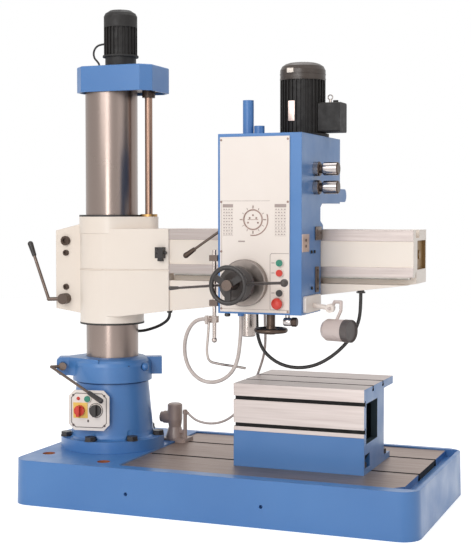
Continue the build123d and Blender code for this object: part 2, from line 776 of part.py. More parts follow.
PUMP_HOSE = (pump_exit(), pump_exit(28), (306, 180, 254), (344, 180, 248), (386, 178, 252), (426, 175, 266),
             (462, 169, 290), (497, 160, 323), (530, 148, 361), (558, 134, 402), (576, 121, 440))
SUPPLY_HOSE = ((697, -97, 740), (697, -97, 702), (690, -72, 662), (672, -24, 612), (650, 24, 570), (624, 68, 528),
               (600, 98, 488), (576, 121, 444))
COOLANT_HOSE = ((671, -280, 740), (671, -280, 690), (666, -280, 632), (658, -280, 576), (635, -280, 529),
                (596, -280, 499), (552, -280, 488), (508, -280, 496), (472, -281, 525), (451, -283, 568),
                (446, -285, 616), (456, -290, 664), (480, -296, 704), (513, -300, 726), (540, -300, 726))
HEAD_CABLE = ((664, -97, 740), (664, -97, 692), (669, -98, 642), (692, -100, 592), (738, -103, 556), (790, -106, 538),
              (848, -108, 536), (904, -106, 549), (956, -100, 578), (1002, -92, 618), (1038, -82, 664),
              (1057, -66, 714), (1058, -46, 768), (1058, -46, 818))
ARM_CABLE = ((238, 40, 714), (238, 40, 700), (228, 42, 684), (208, 48, 670), (182, 57, 657), (148, 69, 645),
             (112, 84, 635), (80, 99, 629), (54, 112, 627), (34, 119, 632), (22, 118, 644), (22, 118, 658))
LIFT_CABLE_RISE = ((-24.75, 99), (-46, 99), (-68, 91), (-81, 71), (-79, 47), (-64, 31), (-54, 19), (-54, 0))
LIFT_CABLE = tuple((x, 0, CAP_TOP + rise) for x, rise in LIFT_CABLE_RISE)


def column():
    """The ground column tube."""
    low = BASE_TOP + PEDESTAL_FLOOR + BEARING_THICK
    return tube((0, 0, low), COLUMN_R, COLUMN_BORE_R, COLUMN_TOP - low)


def lift_motor_x():
    """The lifting gear's axis, one gear centre distance from the lead screw."""
    return SCREW_X - LIFT_MODULE * (LIFT_TEETH + SCREW_TEETH) / 2


def cap_block(inset, low, high):
    """A block with the cap's chamfered plan, drawn in by an inset."""
    body = block(CAP_LEFT + inset, CAP_RIGHT - inset, inset - CAP_HALF_DEPTH, CAP_HALF_DEPTH - inset, low, high)
    return chamfer(body.edges().filter_by(Axis.Z), CAP_CHAMFER - inset * 0.6)


def top_cap():
    """The cap casting over the lifting gears, open below."""
    body = cap_block(0, CAP_LOW, CAP_TOP)
    body = fillet(body.faces().sort_by(Axis.Z)[-1].edges(), 6)
    body -= cap_block(CAP_WALL, CAP_LOW - 1, CAP_TOP - CAP_ROOF)
    return body - disc((lift_motor_x(), 0, CAP_TOP - CAP_ROOF - 1), LIFT_SHAFT_R + 6, CAP_ROOF + 2)


def cap_plate():
    """The plate on the column that carries the lead screw's bearing."""
    body = cap_block(CAP_WALL, COLUMN_TOP, COLUMN_TOP + CAP_PLATE)
    body += disc((SCREW_X, 0, COLLAR_LOW), COLLAR_R, COLUMN_TOP - COLLAR_LOW)
    body -= disc((SCREW_X, 0, COLLAR_LOW - 1), SCREW_R + RUN_FIT, 80)
    body -= disc((lift_motor_x(), 0, COLUMN_TOP + 2), 10 + RUN_FIT, CAP_PLATE)
    return body


def finned_barrel(at, radius, low, high, fins):
    """A motor barrel with cooling fins."""
    x, y = at
    core = radius - 7
    body = disc((x, y, low), core, high - low)
    for index in range(fins):
        fin = block(core - 3, radius, -1.5, 1.5, low, high)
        body += Pos(x, y, 0) * Rot(0, 0, 360 * index / fins) * fin
    return body


def lift_motor():
    """The arm lifting motor on the cap."""
    x = lift_motor_x()
    barrel = finned_barrel((x, 0), LIFT_MOTOR_R, LIFT_MOTOR_NECK_TOP + 7, LIFT_COWL_LOW, 24)
    body = barrel + disc((x, 0, CAP_TOP), LIFT_MOTOR_R - 5, LIFT_MOTOR_NECK_TOP - CAP_TOP)
    body += disc((x, 0, LIFT_MOTOR_NECK_TOP), LIFT_MOTOR_FOOT_R, 7)
    body += turned(((0, LIFT_COWL_LOW), (LIFT_MOTOR_R, LIFT_COWL_LOW), (LIFT_MOTOR_R, LIFT_MOTOR_TOP - 23),
                    (LIFT_MOTOR_R - 6, LIFT_MOTOR_TOP - 11), (LIFT_MOTOR_R - 16, LIFT_MOTOR_TOP - 5),
                    (44, LIFT_MOTOR_TOP), (0, LIFT_MOTOR_TOP)), (x, 0, 0))
    body += block(x - LIFT_MOTOR_R, x - 40, -12, 12, CAP_TOP + 85, CAP_TOP + 113)
    return body - disc((x, 0, CAP_TOP - 1), LIFT_SHAFT_R + RUN_FIT, 90)


def lift_gear():
    """The lifting gear on the motor's shaft."""
    at = (lift_motor_x(), 0, LIFT_GEAR_LOW)
    body = gear(at, LIFT_TEETH, LIFT_MODULE, 0, LIFT_GEAR_FACE)
    plate = COLUMN_TOP + CAP_PLATE
    body += disc((at[0], 0, plate - 8), 10, 10) + disc((at[0], 0, plate + GAP), 20, LIFT_GEAR_LOW - plate - GAP)
    return body + disc((at[0], 0, LIFT_GEAR_LOW), LIFT_SHAFT_R, CAP_TOP + 80 - LIFT_GEAR_LOW)


def lead_screw():
    """The lifting screw with its gear and shoulder."""
    at = (SCREW_X, 0, LIFT_GEAR_LOW)
    phase = 180.0 + 180.0 / SCREW_TEETH
    plate = COLUMN_TOP + CAP_PLATE
    body = gear(at, SCREW_TEETH, LIFT_MODULE, 0, LIFT_GEAR_FACE, phase)
    body += disc((SCREW_X, 0, plate + GAP), 22, LIFT_GEAR_LOW - plate - GAP)
    return body + disc((SCREW_X, 0, SCREW_END), SCREW_R, LIFT_GEAR_LOW - SCREW_END)


def sleeve_lug(low, high):
    """The lug that joins the sleeve to the lifting nut's seat."""
    turn = math.acos((SLEEVE_R - LUG_R) / SCREW_X)
    near = (SLEEVE_R * math.cos(turn), SLEEVE_R * math.sin(turn))
    far = (SCREW_X + LUG_R * math.cos(turn), LUG_R * math.sin(turn))
    outline = (near, far, (far[0], -far[1]), (near[0], -near[1]))
    return slab_z(outline, low, high) + disc((SCREW_X, 0, low), LUG_R, high - low)


def underside(x):
    """The height of the arm's underside at a place along it."""
    for (x0, z0), (x1, z1) in zip(UNDERSIDE, UNDERSIDE[1:]):
        if x <= x1:
            return z0 + (z1 - z0) * (x - x0) / (x1 - x0)
    return UNDERSIDE[-1][1]


def arm_ear(side):
    """One of the two clamp ears on the sleeve's far side."""
    outline = ((-120, EAR_LOW), (EAR_LEFT, EAR_LOW + 17), (EAR_LEFT, EAR_HIGH - 28), (-120, EAR_HIGH))
    low, high = sorted((side * SLIT / 2, side * EAR_OUT))
    return slab_y(outline, low, high)


def arm_recess():
    """The (y, z) outline of the recess below the lower guide."""
    front = ARM_FRONT
    return ((front - 1, RECESS_LOW), (front - 1, LOWER_GUIDE_LOW), (front + RECESS_DEPTH, LOWER_GUIDE_LOW),
            (front + RECESS_DEEP, LOWER_GUIDE_LOW + DOVETAIL_RISE), (front + RECESS_DEEP, RECESS_LOW))


def arm_cores():
    """The open cells between the ribs at the arm's back."""
    pitch = (ARM_END - GUIDE_START - CORE_WALL) / ARM_CORES
    for index in range(ARM_CORES):
        x0 = GUIDE_START + CORE_WALL + index * pitch
        x1 = x0 + pitch - CORE_WALL
        high = TOP_GROOVE_Z - 20
        outline = ((x0, underside(x0) + CORE_WALL), (x1, underside(x1) + CORE_WALL), (x1, high), (x0, high))
        yield slab_y(outline, CORE_FRONT, ARM_BACK + 1)


def fairing_line():
    """Where the arm's front leaves the sleeve and where it meets the guides, in plan."""
    corner = (GUIDE_START, ARM_FRONT - ARM_PAD)
    bite = SLEEVE_LOWER_R - FAIRING_BITE
    turn = math.atan2(corner[1], corner[0]) - math.acos(bite / math.hypot(*corner))
    return (bite * math.cos(turn), bite * math.sin(turn)), corner


def arm_fairing():
    """The arm's front between the sleeve and the guides."""
    touch, corner = fairing_line()
    plan = slab_z((touch, corner, (GUIDE_START, 0), (0, 0)), SLEEVE_LOW, ARM_TOP)
    side = ((0, UNDERSIDE[0][1]), UNDERSIDE[0], UNDERSIDE[1], (GUIDE_START, underside(GUIDE_START)),
            (GUIDE_START, ARM_TOP), (0, ARM_TOP))
    return plan & slab_y(side, -SLEEVE_R - 10, 0)


def fairing_groove():
    """The sleeve's groove where it runs on along the arm's front."""
    touch, corner = fairing_line()
    strip = block(0, math.dist(touch, corner) + 1, -1, 3, SLEEVE_GROOVE_Z - 3, SLEEVE_GROOVE_Z + 3)
    return Pos(*touch) * Rot(0, 0, bearing_angle(touch, corner)) * strip


def arm_beam():
    """The arm's beam before its guides and cores are cut."""
    return slab_y(UNDERSIDE + ((ARM_END, ARM_TOP), (ARM_START, ARM_TOP)), ARM_FRONT, ARM_BACK)


def arm_casting():
    """The arm with its split sleeve, guides, recess and ribbed back."""
    low = SLEEVE_LOW + WIPER
    sleeve = disc((0, 0, low), SLEEVE_LOWER_R, SLEEVE_STEP - low)
    sleeve += disc((0, 0, SLEEVE_STEP), SLEEVE_R, SLEEVE_TOP - SLEEVE_STEP)
    body = sleeve + arm_beam() + arm_fairing() + sleeve_lug(SLEEVE_STEP, SLEEVE_TOP) + arm_ear(-1) + arm_ear(1)
    far = ARM_END + 1
    web = ARM_FRONT + WEB_SET_BACK
    y0, y1, z0, z1 = END_RECESS
    tools = [
        disc((0, 0, SLEEVE_LOW - 1), COLUMN_R + RUN_FIT, 500),
        block(EAR_LEFT - 1, -100, -SLIT / 2, SLIT / 2, SLEEVE_LOW - 1, SLEEVE_TOP + 1),
        block(GUIDE_START, far, ARM_FRONT - 1, web, LOWER_GUIDE_TOP, ARM_TOP - UPPER_GUIDE),
        block(GUIDE_START, far, ARM_FRONT - 1, web, 700, RECESS_LOW),
        slab_x(arm_recess(), GUIDE_START, far),
        block(GUIDE_START, far, TOP_GROOVE[0], TOP_GROOVE[1], TOP_GROOVE_Z, ARM_TOP + 1),
        block(ARM_END - END_RECESS_DEEP, far, y0, y1, z0, z1),
        disc((SCREW_X, 0, 600), SCREW_R + 5, 600),
        disc((SCREW_X, 0, SLEEVE_TOP + NUT_FLANGE - NUT_LENGTH), NUT_R, NUT_LENGTH),
        disc((EAR_BOLT_X, -EAR_OUT - 1, EAR_LEVER_Z), 14 + RUN_FIT, 2 * EAR_OUT + 2, "y"),
        disc((EAR_BOLT_X, -EAR_OUT - 1, EAR_BIG_BOLT_Z), 12, 2 * EAR_OUT + 2, "y"),
    ]
    tools += [disc((EAR_BOLT_X, -EAR_OUT - 1, z), 6, 2 * EAR_OUT + 2, "y") for z in EAR_SMALL_BOLTS]
    tools += list(arm_cores())
    groove = tube((0, 0, SLEEVE_GROOVE_Z - 3), SLEEVE_R + 20, SLEEVE_LOWER_R - 3, 6)
    tools.append(groove - block(22, 200, -200, 200, 800, 1000) - block(-300, -118, -40, 40, 800, 1000))
    tools.append(fairing_groove())
    return body - tools


def sleeve_wipers():
    """The black wiper rings at the sleeve's two ends."""
    x, y, z = ARM_CABLE[-1]
    low = tube((0, 0, SLEEVE_LOW), SLEEVE_LOWER_R + 1, COLUMN_R + RUN_FIT, WIPER) - disc((x, y, z), 9, 30)
    return low, tube((0, 0, SLEEVE_TOP), SLEEVE_R, COLUMN_R + RUN_FIT, WIPER)


def lift_nut():
    """The bronze nut in the sleeve's lug."""
    low = SLEEVE_TOP + NUT_FLANGE - NUT_LENGTH
    body = disc((SCREW_X, 0, low), NUT_R, NUT_LENGTH) + disc((SCREW_X, 0, SLEEVE_TOP), NUT_FLANGE_R, NUT_FLANGE)
    return body - disc((SCREW_X, 0, low - 1), SCREW_R + RUN_FIT, NUT_LENGTH + 2)


def sleeve_bolts():
    """The socket-head clamp bolts through the sleeve's ears, with their nuts."""
    bolts = []
    for z, shank, head in ((EAR_BIG_BOLT_Z, 12, 19), (EAR_SMALL_BOLTS[0], 6, 12), (EAR_SMALL_BOLTS[1], 6, 12)):
        bolt = disc((EAR_BOLT_X, -EAR_OUT, z), shank, 2 * EAR_OUT, "y")
        bolt += disc((EAR_BOLT_X, -EAR_OUT, z), head, head * 0.7, "-y")
        bolt -= hexagon((EAR_BOLT_X, -EAR_OUT - head * 0.3, z), head * 0.5, head, "-y")
        bolts.append(bolt + hexagon((EAR_BOLT_X, EAR_OUT, z), head, head * 0.7, "y"))
    return bolts


def traverse_pitch_z():
    """The height of the traverse rack's pitch line."""
    return FEED_Z + TRAVERSE_MODULE * TRAVERSE_TEETH / 2


def traverse_rack():
    """The rack under the lower guide, its teeth facing down."""
    line = traverse_pitch_z()
    low = line - 0.8 * TRAVERSE_MODULE
    body = block(RACK_LEFT, RACK_RIGHT, RACK_FRONT, RACK_BACK, low, LOWER_GUIDE_LOW)
    gaps = rack_gaps(TRAVERSE_MODULE, RACK_LEFT + 4, RACK_RIGHT - 4, line, -1, FEED_X)
    return body - [slab_y(gap, RACK_FRONT - 1, RACK_BACK + 1) for gap in gaps]


def arm_end_cover():
    """The cover plate set in the arm's end."""
    y0, y1, z0, z1 = END_RECESS
    back = ARM_END - END_RECESS_DEEP
    return block(back, back + 12, y0, y1, z0, z1) + disc((back + 12, (y0 + y1) / 2, (z0 + z1) / 2), 16, 6, "x")


def limit_switch():
    """The travel limit switch on the arm's front."""
    front = ARM_FRONT - 32
    body = block(244, 278, front, ARM_FRONT, 939, 982) + block(252, 270, front + 7, ARM_FRONT, 927, 939)
    return body + disc((278, front + 12, 960), 6, 10, "x") - arm_fairing()


def cable_glands():
    """The glands that the arm's cables come out of."""
    x, y, z = HEAD_CABLE[-1]
    parts = [disc((x, y, z), 13, underside(x + 13) - z) + hexagon((x, y, z), 15, 6) - arm_beam()]
    x, y, z = ARM_CABLE[0]
    parts.append(disc((x, y, z), 11, underside(x + 11) - z) - arm_beam())
    x, y, z = ARM_CABLE[-1]
    parts.append(disc((x, y, z), 9, SLEEVE_LOW + WIPER - z))
    return parts


def arm_lever_points():
    """The arm clamp lever's corners."""
    corner = Vector(-255, -70, 763.5)
    end = Vector(-339, -70, 989)
    return (EAR_BOLT_X, -60, EAR_LEVER_Z), tuple(corner), grip_start(corner, end, 53), tuple(end)


def arm_lever():
    """The arm clamp screw with its hub and bent rod."""
    hub, corner, grip, _ = arm_lever_points()
    x, _, z = hub
    front = -EAR_OUT - GAP
    body = disc((x, front, z), 22, 36, "-y") + disc((x, front, z), 14, 2 * EAR_OUT + 26, "y")
    body += hexagon((x, EAR_OUT + GAP, z), 22, 18, "y")
    return body + rod(hub, corner, 8) + Pos(*corner) * Sphere(8) + rod(corner, grip, 6.5)


def arm_lever_grip():
    """The grip on the arm clamp lever."""
    _, _, start, end = arm_lever_points()
    return taper(start, end, 9, 11.5) + Pos(*end) * Sphere(11.5)


def head_outline():
    """The head's side outline as (y, z) points."""
    back = ARM_FRONT - GAP
    shoe = ARM_TOP + GAP
    return ((HEAD_FRONT, HEAD_LOW), (back, HEAD_LOW), (back, shoe), (SHOE_BACK, shoe), (SHOE_BACK, shoe + SHOE_THICK),
            (back - 3, shoe + 32), (back - 3, HEAD_STEP - 15), (back + 20, HEAD_STEP), (HEAD_BACK, HEAD_STEP),
            (HEAD_BACK, HEAD_TOP), (HEAD_FRONT, HEAD_TOP))


def head_bores():
    """The holes for the quill, the spindle, the feed shafts and the drive."""
    back = ARM_FRONT
    face = SPINDLE_Y - FEED_FACE / 2 - 2
    tools = [
        disc((SPINDLE_X, SPINDLE_Y, HEAD_LOW - 1), QUILL_R + RUN_FIT, QUILL_TOP + 2 - HEAD_LOW),
        disc((SPINDLE_X, SPINDLE_Y, QUILL_TOP), SPLINE_R + KEY_HIGH + 2, HEAD_TOP - QUILL_TOP + 1),
        disc((FEED_X, HEAD_FRONT - 1, FEED_Z), FEED_TUBE_R + RUN_FIT, face + 12 - HEAD_FRONT, "y"),
        disc((FEED_X, face, FEED_Z), FEED_MODULE * (FEED_TEETH / 2 + 1), FEED_FACE + 4, "y"),
        disc((FEED_X, face, FEED_Z), HAND_SHAFT_R + RUN_FIT, back - face, "y"),
        disc((MOTOR_X, 0, HEAD_TOP - HEAD_WALL - 1), DRIVE_MODULE * (MOTOR_TEETH / 2 + 1.2), HEAD_WALL + 2),
        disc((FINE_X, FINE_Y, HEAD_LOW - 1), 10 + RUN_FIT, 40),
    ]
    for z in KNOB_HEIGHTS:
        tools.append(disc((HEAD_RIGHT - 30, KNOB_Y, z), 8 + RUN_FIT, 31, "x"))
    for z in BUTTON_HEIGHTS.values():
        tools.append(disc((BUTTON_X, HEAD_FRONT - 1, z), BUTTON_STEM_R + RUN_FIT, 30, "y"))
    tools.append(disc((STOP_AT[0], HEAD_FRONT - 1, STOP_AT[1]), BUTTON_STEM_R + 2 + RUN_FIT, 30, "y"))
    return tools


def head_cavities():
    """The gearbox above and the hollow beside the quill."""
    left = HEAD_LEFT + HEAD_WALL
    right = HEAD_RIGHT - HEAD_WALL
    front = HEAD_FRONT + HEAD_WALL
    floor = HEAD_STEP + HEAD_WALL + 1
    return [
        block(left, right, front, HEAD_BACK - HEAD_WALL, floor, HEAD_TOP - HEAD_WALL),
        block(FEED_X + 43, right - 3, front, ARM_FRONT - 15, HEAD_LOW + 20, floor + 1),
    ]


def head_casting():
    """The head casting with its shoe, tail lug, cavities and bores."""
    body = slab_x(head_outline(), HEAD_LEFT, HEAD_RIGHT)
    middle = (TAIL_LOW + TAIL_HIGH) / 2
    half = (TAIL_HIGH - TAIL_LOW) / 2
    body += block(620, 905, HEAD_BACK - 5, TAIL_BACK - half, TAIL_LOW, TAIL_HIGH)
    body += disc((620, TAIL_BACK - half, middle), half, 285, "x")
    for x, y, _ in (SUPPLY_HOSE[0], COOLANT_HOSE[0], HEAD_CABLE[0]):
        body += disc((x, y, HEAD_LOW - 10), 12, 10)
    for low in ROD_LUGS:
        body += block(ROD_X - 15, HEAD_LEFT, ROD_Y - 14, HEAD_FRONT + 24, low, low + 22)
    x, y, z = LOCK_HUB
    body += block(x - 20, HEAD_LEFT, y, y + 28, z - 20, z + 20)
    lay = lay_place()
    floor = HEAD_STEP + HEAD_WALL + 1
    body = body - head_cavities()
    body += tube((*lay, floor), LAY_SHAFT_R + 12, LAY_SHAFT_R + RUN_FIT, LAY_BOSS)
    body += tube((*lay, HEAD_TOP - HEAD_WALL - LAY_BOSS), LAY_SHAFT_R + 12, LAY_SHAFT_R + RUN_FIT, LAY_BOSS)
    body += disc((SPINDLE_X, SPINDLE_Y, floor), 34, LAY_BOSS)
    body -= disc((ROD_X, ROD_Y, 700), ROD_R, 300)
    body -= disc((x, y - 40, z), 9 + RUN_FIT, 80, "y")
    return body - head_bores()


def front_panel():
    """The front plate with the button bezels."""
    front = HEAD_FRONT - PANEL_THICK
    body = block(PANEL_LEFT, PANEL_RIGHT, front, HEAD_FRONT, PANEL_LOW, PANEL_HIGH)
    body -= disc((FEED_X, front - 1, FEED_Z), FEED_TUBE_R + RUN_FIT, PANEL_THICK + 2, "y")
    for z in BUTTON_HEIGHTS.values():
        body -= disc((BUTTON_X, front - 1, z), BUTTON_STEM_R + RUN_FIT, PANEL_THICK + 2, "y")
        body += tube((BUTTON_X, front, z), BUTTON_R + 3, BUTTON_R + GAP, 6, "-y")
    x, z = STOP_AT
    body -= disc((x, front - 1, z), BUTTON_STEM_R + 2 + RUN_FIT, PANEL_THICK + 2, "y")
    return body + tube((x, front, z), 15, BUTTON_STEM_R + 2 + RUN_FIT, 6, "-y")


def way_keepers():
    """The keeper bars that reach past the rack to the lower guide's dovetail."""
    low = RECESS_LOW + 2.5
    slope_y = ARM_FRONT + RECESS_DEPTH
    slope_z = LOWER_GUIDE_LOW - 0.5
    deep = RECESS_DEEP - RECESS_DEPTH - 3
    under_rack = traverse_pitch_z() - 3
    front = ARM_FRONT - GAP
    outline = ((front, low), (slope_y + deep, low), (slope_y + deep, slope_z + deep), (slope_y, slope_z),
               (RACK_BACK + 1.5, slope_z), (RACK_BACK + 1.5, under_rack), (front, under_rack))
    spans = ((HEAD_LEFT + 8, FEED_X - 30), (FEED_X + 30, HEAD_RIGHT - 8))
    return [slab_x(outline, x0, x1) for x0, x1 in spans]


def main_motor():
    """The main motor with its fins, foot, eyebolt and terminal box."""
    barrel = finned_barrel((MOTOR_X, 0), MOTOR_R, HEAD_TOP + 12, MOTOR_BODY_TOP, 32)
    body = barrel + disc((MOTOR_X, 0, HEAD_TOP), MOTOR_FOOT_R, 12)
    box = block(MOTOR_X + MOTOR_R - 12, BOX_RIGHT, -BOX_HALF, BOX_HALF, BOX_LOW, BOX_HIGH)
    body += fillet(box.edges().filter_by(Axis.X), 8)
    body += disc((BOX_RIGHT - 30, 0, BOX_HIGH - 2), 10, 12)
    return body - disc((MOTOR_X, 0, HEAD_TOP - 1), MOTOR_SHAFT_R + RUN_FIT, 130)


def main_motor_cowl():
    """The fan cowl of the main motor."""
    low = MOTOR_BODY_TOP
    return turned(((0, low), (MOTOR_R, low), (MOTOR_R, MOTOR_TOP - 27), (MOTOR_R - 7, MOTOR_TOP - 13),
                   (MOTOR_R - 20, MOTOR_TOP - 4), (54, MOTOR_TOP), (0, MOTOR_TOP)), (MOTOR_X, 0, 0))


def spindle_cover():
    """The tube over the spindle's upper end, and the oil filler beside it."""
    cover = tube((SPINDLE_X, SPINDLE_Y, HEAD_TOP), COVER_R, SPLINE_R + KEY_HIGH + 2, COVER_TOP - 6 - HEAD_TOP)
    cover += disc((SPINDLE_X, SPINDLE_Y, COVER_TOP - 6), COVER_R, 6)
    filler = disc((FILLER_X, SPINDLE_Y, HEAD_TOP), FILLER_R, FILLER_TOP - HEAD_TOP)
    return cover, filler


def centre_distance(first, second):
    """The centre distance of two gears of the main drive."""
    return DRIVE_MODULE * (first + second) / 2


def lay_place():
    """Where the lay shaft stands, meshing with both the motor and the spindle."""
    motor = Vector(MOTOR_X, 0)
    line = Vector(SPINDLE_X, SPINDLE_Y) - motor
    near = centre_distance(MOTOR_TEETH, LAY_TEETH)
    far = centre_distance(LAY_SMALL_TEETH, SPINDLE_TEETH)
    along = (near ** 2 - far ** 2 + line.length ** 2) / (2 * line.length)
    across = math.sqrt(near ** 2 - along ** 2)
    unit = line.normalized()
    place = motor + unit * along + Vector(-unit.Y, unit.X) * across
    return place.X, place.Y


def bearing_angle(start, end):
    """The direction in degrees from one axis to another."""
    return math.degrees(math.atan2(end[1] - start[1], end[0] - start[0]))


def meshing_phase(direction, teeth):
    """The phase that puts a gap towards the gear that drives it."""
    return direction + 180.0 + 180.0 / teeth


def motor_pinion():
    """The pinion on the motor's shaft."""
    direction = bearing_angle((MOTOR_X, 0), lay_place())
    at = (MOTOR_X, 0, UPPER_GEAR_Z)
    body = gear(at, MOTOR_TEETH, DRIVE_MODULE, 0, DRIVE_FACE, direction)
    return body + disc(at, MOTOR_SHAFT_R, HEAD_TOP + 125 - UPPER_GEAR_Z)


def lay_gears():
    """The lay shaft with its two gears."""
    x, y = lay_place()
    towards_motor = bearing_angle((MOTOR_X, 0), (x, y))
    towards_spindle = bearing_angle((x, y), (SPINDLE_X, SPINDLE_Y))
    body = gear((x, y, UPPER_GEAR_Z), LAY_TEETH, DRIVE_MODULE, 0, DRIVE_FACE, meshing_phase(towards_motor, LAY_TEETH))
    body += gear((x, y, LOWER_GEAR_Z), LAY_SMALL_TEETH, DRIVE_MODULE, 0, DRIVE_FACE, towards_spindle)
    low = HEAD_STEP + HEAD_WALL + 1
    high = HEAD_TOP - HEAD_WALL
    body += disc((x, y, low + LAY_BOSS + GAP), 24, high - low - 2 * (LAY_BOSS + GAP))
    return body + disc((x, y, low + 2), LAY_SHAFT_R, high - low - 4)


def spline(radius, low, high, clearance=0.0):
    """A shaft with four keys, or its bore when a clearance is given."""
    width = KEY_WIDTH / 2 + clearance
    reach = radius + KEY_HIGH + clearance
    body = disc((SPINDLE_X, SPINDLE_Y, low), radius + clearance, high - low)
    body += Pos(SPINDLE_X, SPINDLE_Y, 0) * block(-reach, reach, -width, width, low, high)
    return body + Pos(SPINDLE_X, SPINDLE_Y, 0) * block(-width, width, -reach, reach, low, high)


def spindle_gear():
    """The gear that drives the splined spindle."""
    direction = bearing_angle(lay_place(), (SPINDLE_X, SPINDLE_Y))
    at = (SPINDLE_X, SPINDLE_Y, LOWER_GEAR_Z)
    body = gear(at, SPINDLE_TEETH, DRIVE_MODULE, 0, DRIVE_FACE, meshing_phase(direction, SPINDLE_TEETH))
    low = HEAD_STEP + HEAD_WALL + 1 + LAY_BOSS + GAP
    body += disc((SPINDLE_X, SPINDLE_Y, low), 24, LOWER_GEAR_Z - low)
    return body - spline(SPLINE_R, low - 1, LOWER_GEAR_Z + DRIVE_FACE + 1, 0.1)


def quill():
    """The quill with its rack on the side of the feed pinion."""
    body = disc((SPINDLE_X, SPINDLE_Y, QUILL_LOW), QUILL_R, QUILL_TOP - QUILL_LOW)
    line = SPINDLE_X + FEED_RACK_OFFSET
    flat = line + 0.8 * FEED_MODULE
    y0 = SPINDLE_Y - FEED_FACE / 2 - 2
    y1 = SPINDLE_Y + FEED_FACE / 2 + 2
    body -= block(flat, flat + 20, y0, y1, FEED_Z - 28, QUILL_TOP + 1)
    gaps = rack_gaps(FEED_MODULE, FEED_Z - 18, QUILL_TOP, line, 1, FEED_Z)
    body -= [slab_y([(across, along) for along, across in gap], y0, y1) for gap in gaps]
    body -= disc((SPINDLE_X, SPINDLE_Y, QUILL_LOW - 1), SHAFT_R + RUN_FIT, SHAFT_TOP + 5 - QUILL_LOW)
    return body - disc((SPINDLE_X, SPINDLE_Y, SHAFT_TOP), SPLINE_R + KEY_HIGH + 1, QUILL_TOP - SHAFT_TOP + 1)


def spindle():
    """The spindle with its nose, taper socket and spline."""
    x, y = SPINDLE_X, SPINDLE_Y
    nose = turned(((0, NOSE_LOW), (NOSE_R - 3, NOSE_LOW), (NOSE_R, NOSE_LOW + 3), (NOSE_R, QUILL_LOW - GAP),
                   (0, QUILL_LOW - GAP)), (x, y, 0))
    body = nose + disc((x, y, QUILL_LOW - GAP), SHAFT_R, SHAFT_TOP - QUILL_LOW + GAP)
    body += spline(SPLINE_R, SHAFT_TOP, SPLINE_TOP)
    return body - Pos(x, y, NOSE_LOW + TAPER_DEEP / 2) * Cone(TAPER_MOUTH_R, TAPER_END_R, TAPER_DEEP)


def feed_front():
    """Where the dial starts, just clear of the front plate."""
    return HEAD_FRONT - PANEL_THICK - GAP


def feed_lever(side):
    """One of the two forward-leaning feed levers with its tip."""
    turn = math.radians(LEVER_TILT)
    across = Vector(side * math.cos(turn), 0, side * math.sin(turn))
    middle = Vector(FEED_X, 0, FEED_Z)
    lean = (LEVER_TIP_Y - (HUB_FRONT + HUB_BACK) / 2) / LEVER_REACH
    places = []
    for reach in (HUB_NECK_R, LEVER_REACH - 26, LEVER_REACH):
        y = (HUB_FRONT + HUB_BACK) / 2 + lean * reach
        places.append(tuple(middle + across * reach + Vector(0, y, 0)))
    body = rod(places[0], places[1], LEVER_R)
    if side > 0:
        return body + Pos(*places[2]) * Sphere(14) + rod(places[1], places[2], LEVER_R)
    return body + taper(places[1], places[2], 5.5, 7.5) + Pos(*places[2]) * Sphere(7.5)


def feed_hub():
    """The dial, hub and two levers on a tube that carries the feed pinion."""
    front = feed_front()
    dial = turned(((0, 0), (DIAL_R - 4, 0), (DIAL_R, 4), (DIAL_R, DIAL_THICK - 3), (DIAL_R - 4, DIAL_THICK),
                   (0, DIAL_THICK)), (FEED_X, front, FEED_Z), "-y")
    body = dial + disc((FEED_X, front, FEED_Z), HUB_NECK_R, front - HUB_BACK, "-y")
    body += turned(((0, 0), (HUB_R - 5, 0), (HUB_R, 6), (HUB_R - 3, 20), (HUB_R - 20, 28), (0, 28)),
                   (FEED_X, HUB_BACK, FEED_Z), "-y")
    body += feed_lever(-1) + feed_lever(1)
    start = SPINDLE_Y - FEED_FACE / 2
    body += disc((FEED_X, front, FEED_Z), FEED_TUBE_R, start - front, "y")
    pinion = gear((0, 0, 0), FEED_TEETH, FEED_MODULE, 0, FEED_FACE, 0)
    body += Pos(FEED_X, start + FEED_FACE, FEED_Z) * Rot(90, 0, 0) * pinion
    return body - disc((FEED_X, HUB_FRONT - 1, FEED_Z), HAND_SHAFT_R + RUN_FIT, 400, "y")


def handwheel():
    """The traverse handwheel with its spokes, shaft and pinion."""
    rim = Pos(FEED_X, WHEEL_Y, FEED_Z) * Rot(90, 0, 0) * Torus(WHEEL_R - WHEEL_RIM_R, WHEEL_RIM_R)
    body = rim + disc((FEED_X, WHEEL_Y - 14, FEED_Z), WHEEL_HUB_R, HUB_FRONT - GAP - WHEEL_Y + 14, "y")
    for angle in (90, 210, 330):
        spoke = block(10, WHEEL_R - WHEEL_RIM_R, -5, 5, -11, 11)
        body += Pos(FEED_X, WHEEL_Y, FEED_Z) * Rot(0, angle, 0) * spoke
    body += disc((FEED_X, WHEEL_Y, FEED_Z), HAND_SHAFT_R, RACK_BACK - WHEEL_Y, "y")
    pinion = gear((0, 0, 0), TRAVERSE_TEETH, TRAVERSE_MODULE, 0, RACK_BACK - RACK_FRONT, 90)
    return body + Pos(FEED_X, RACK_BACK, FEED_Z) * Rot(90, 0, 0) * pinion


def fine_feed_wheel():
    """The small handwheel under the head."""
    at = (FINE_X, FINE_Y, 0)
    middle = (FINE_LOW + FINE_HIGH) / 2
    rim = Pos(FINE_X, FINE_Y, middle) * Torus(FINE_R - 9, 9)
    hub_top = HEAD_LOW - GAP
    body = rim + turned(((0, FINE_LOW), (17, FINE_LOW), (19, middle), (16, FINE_HIGH), (16, hub_top), (0, hub_top)), at)
    for angle in (0, 120, 240):
        body += Pos(FINE_X, FINE_Y, middle) * Rot(0, 0, angle) * block(8, FINE_R - 9, -9, 9, -5, 5)
    return body + disc((FINE_X, FINE_Y, hub_top), 10, 30)


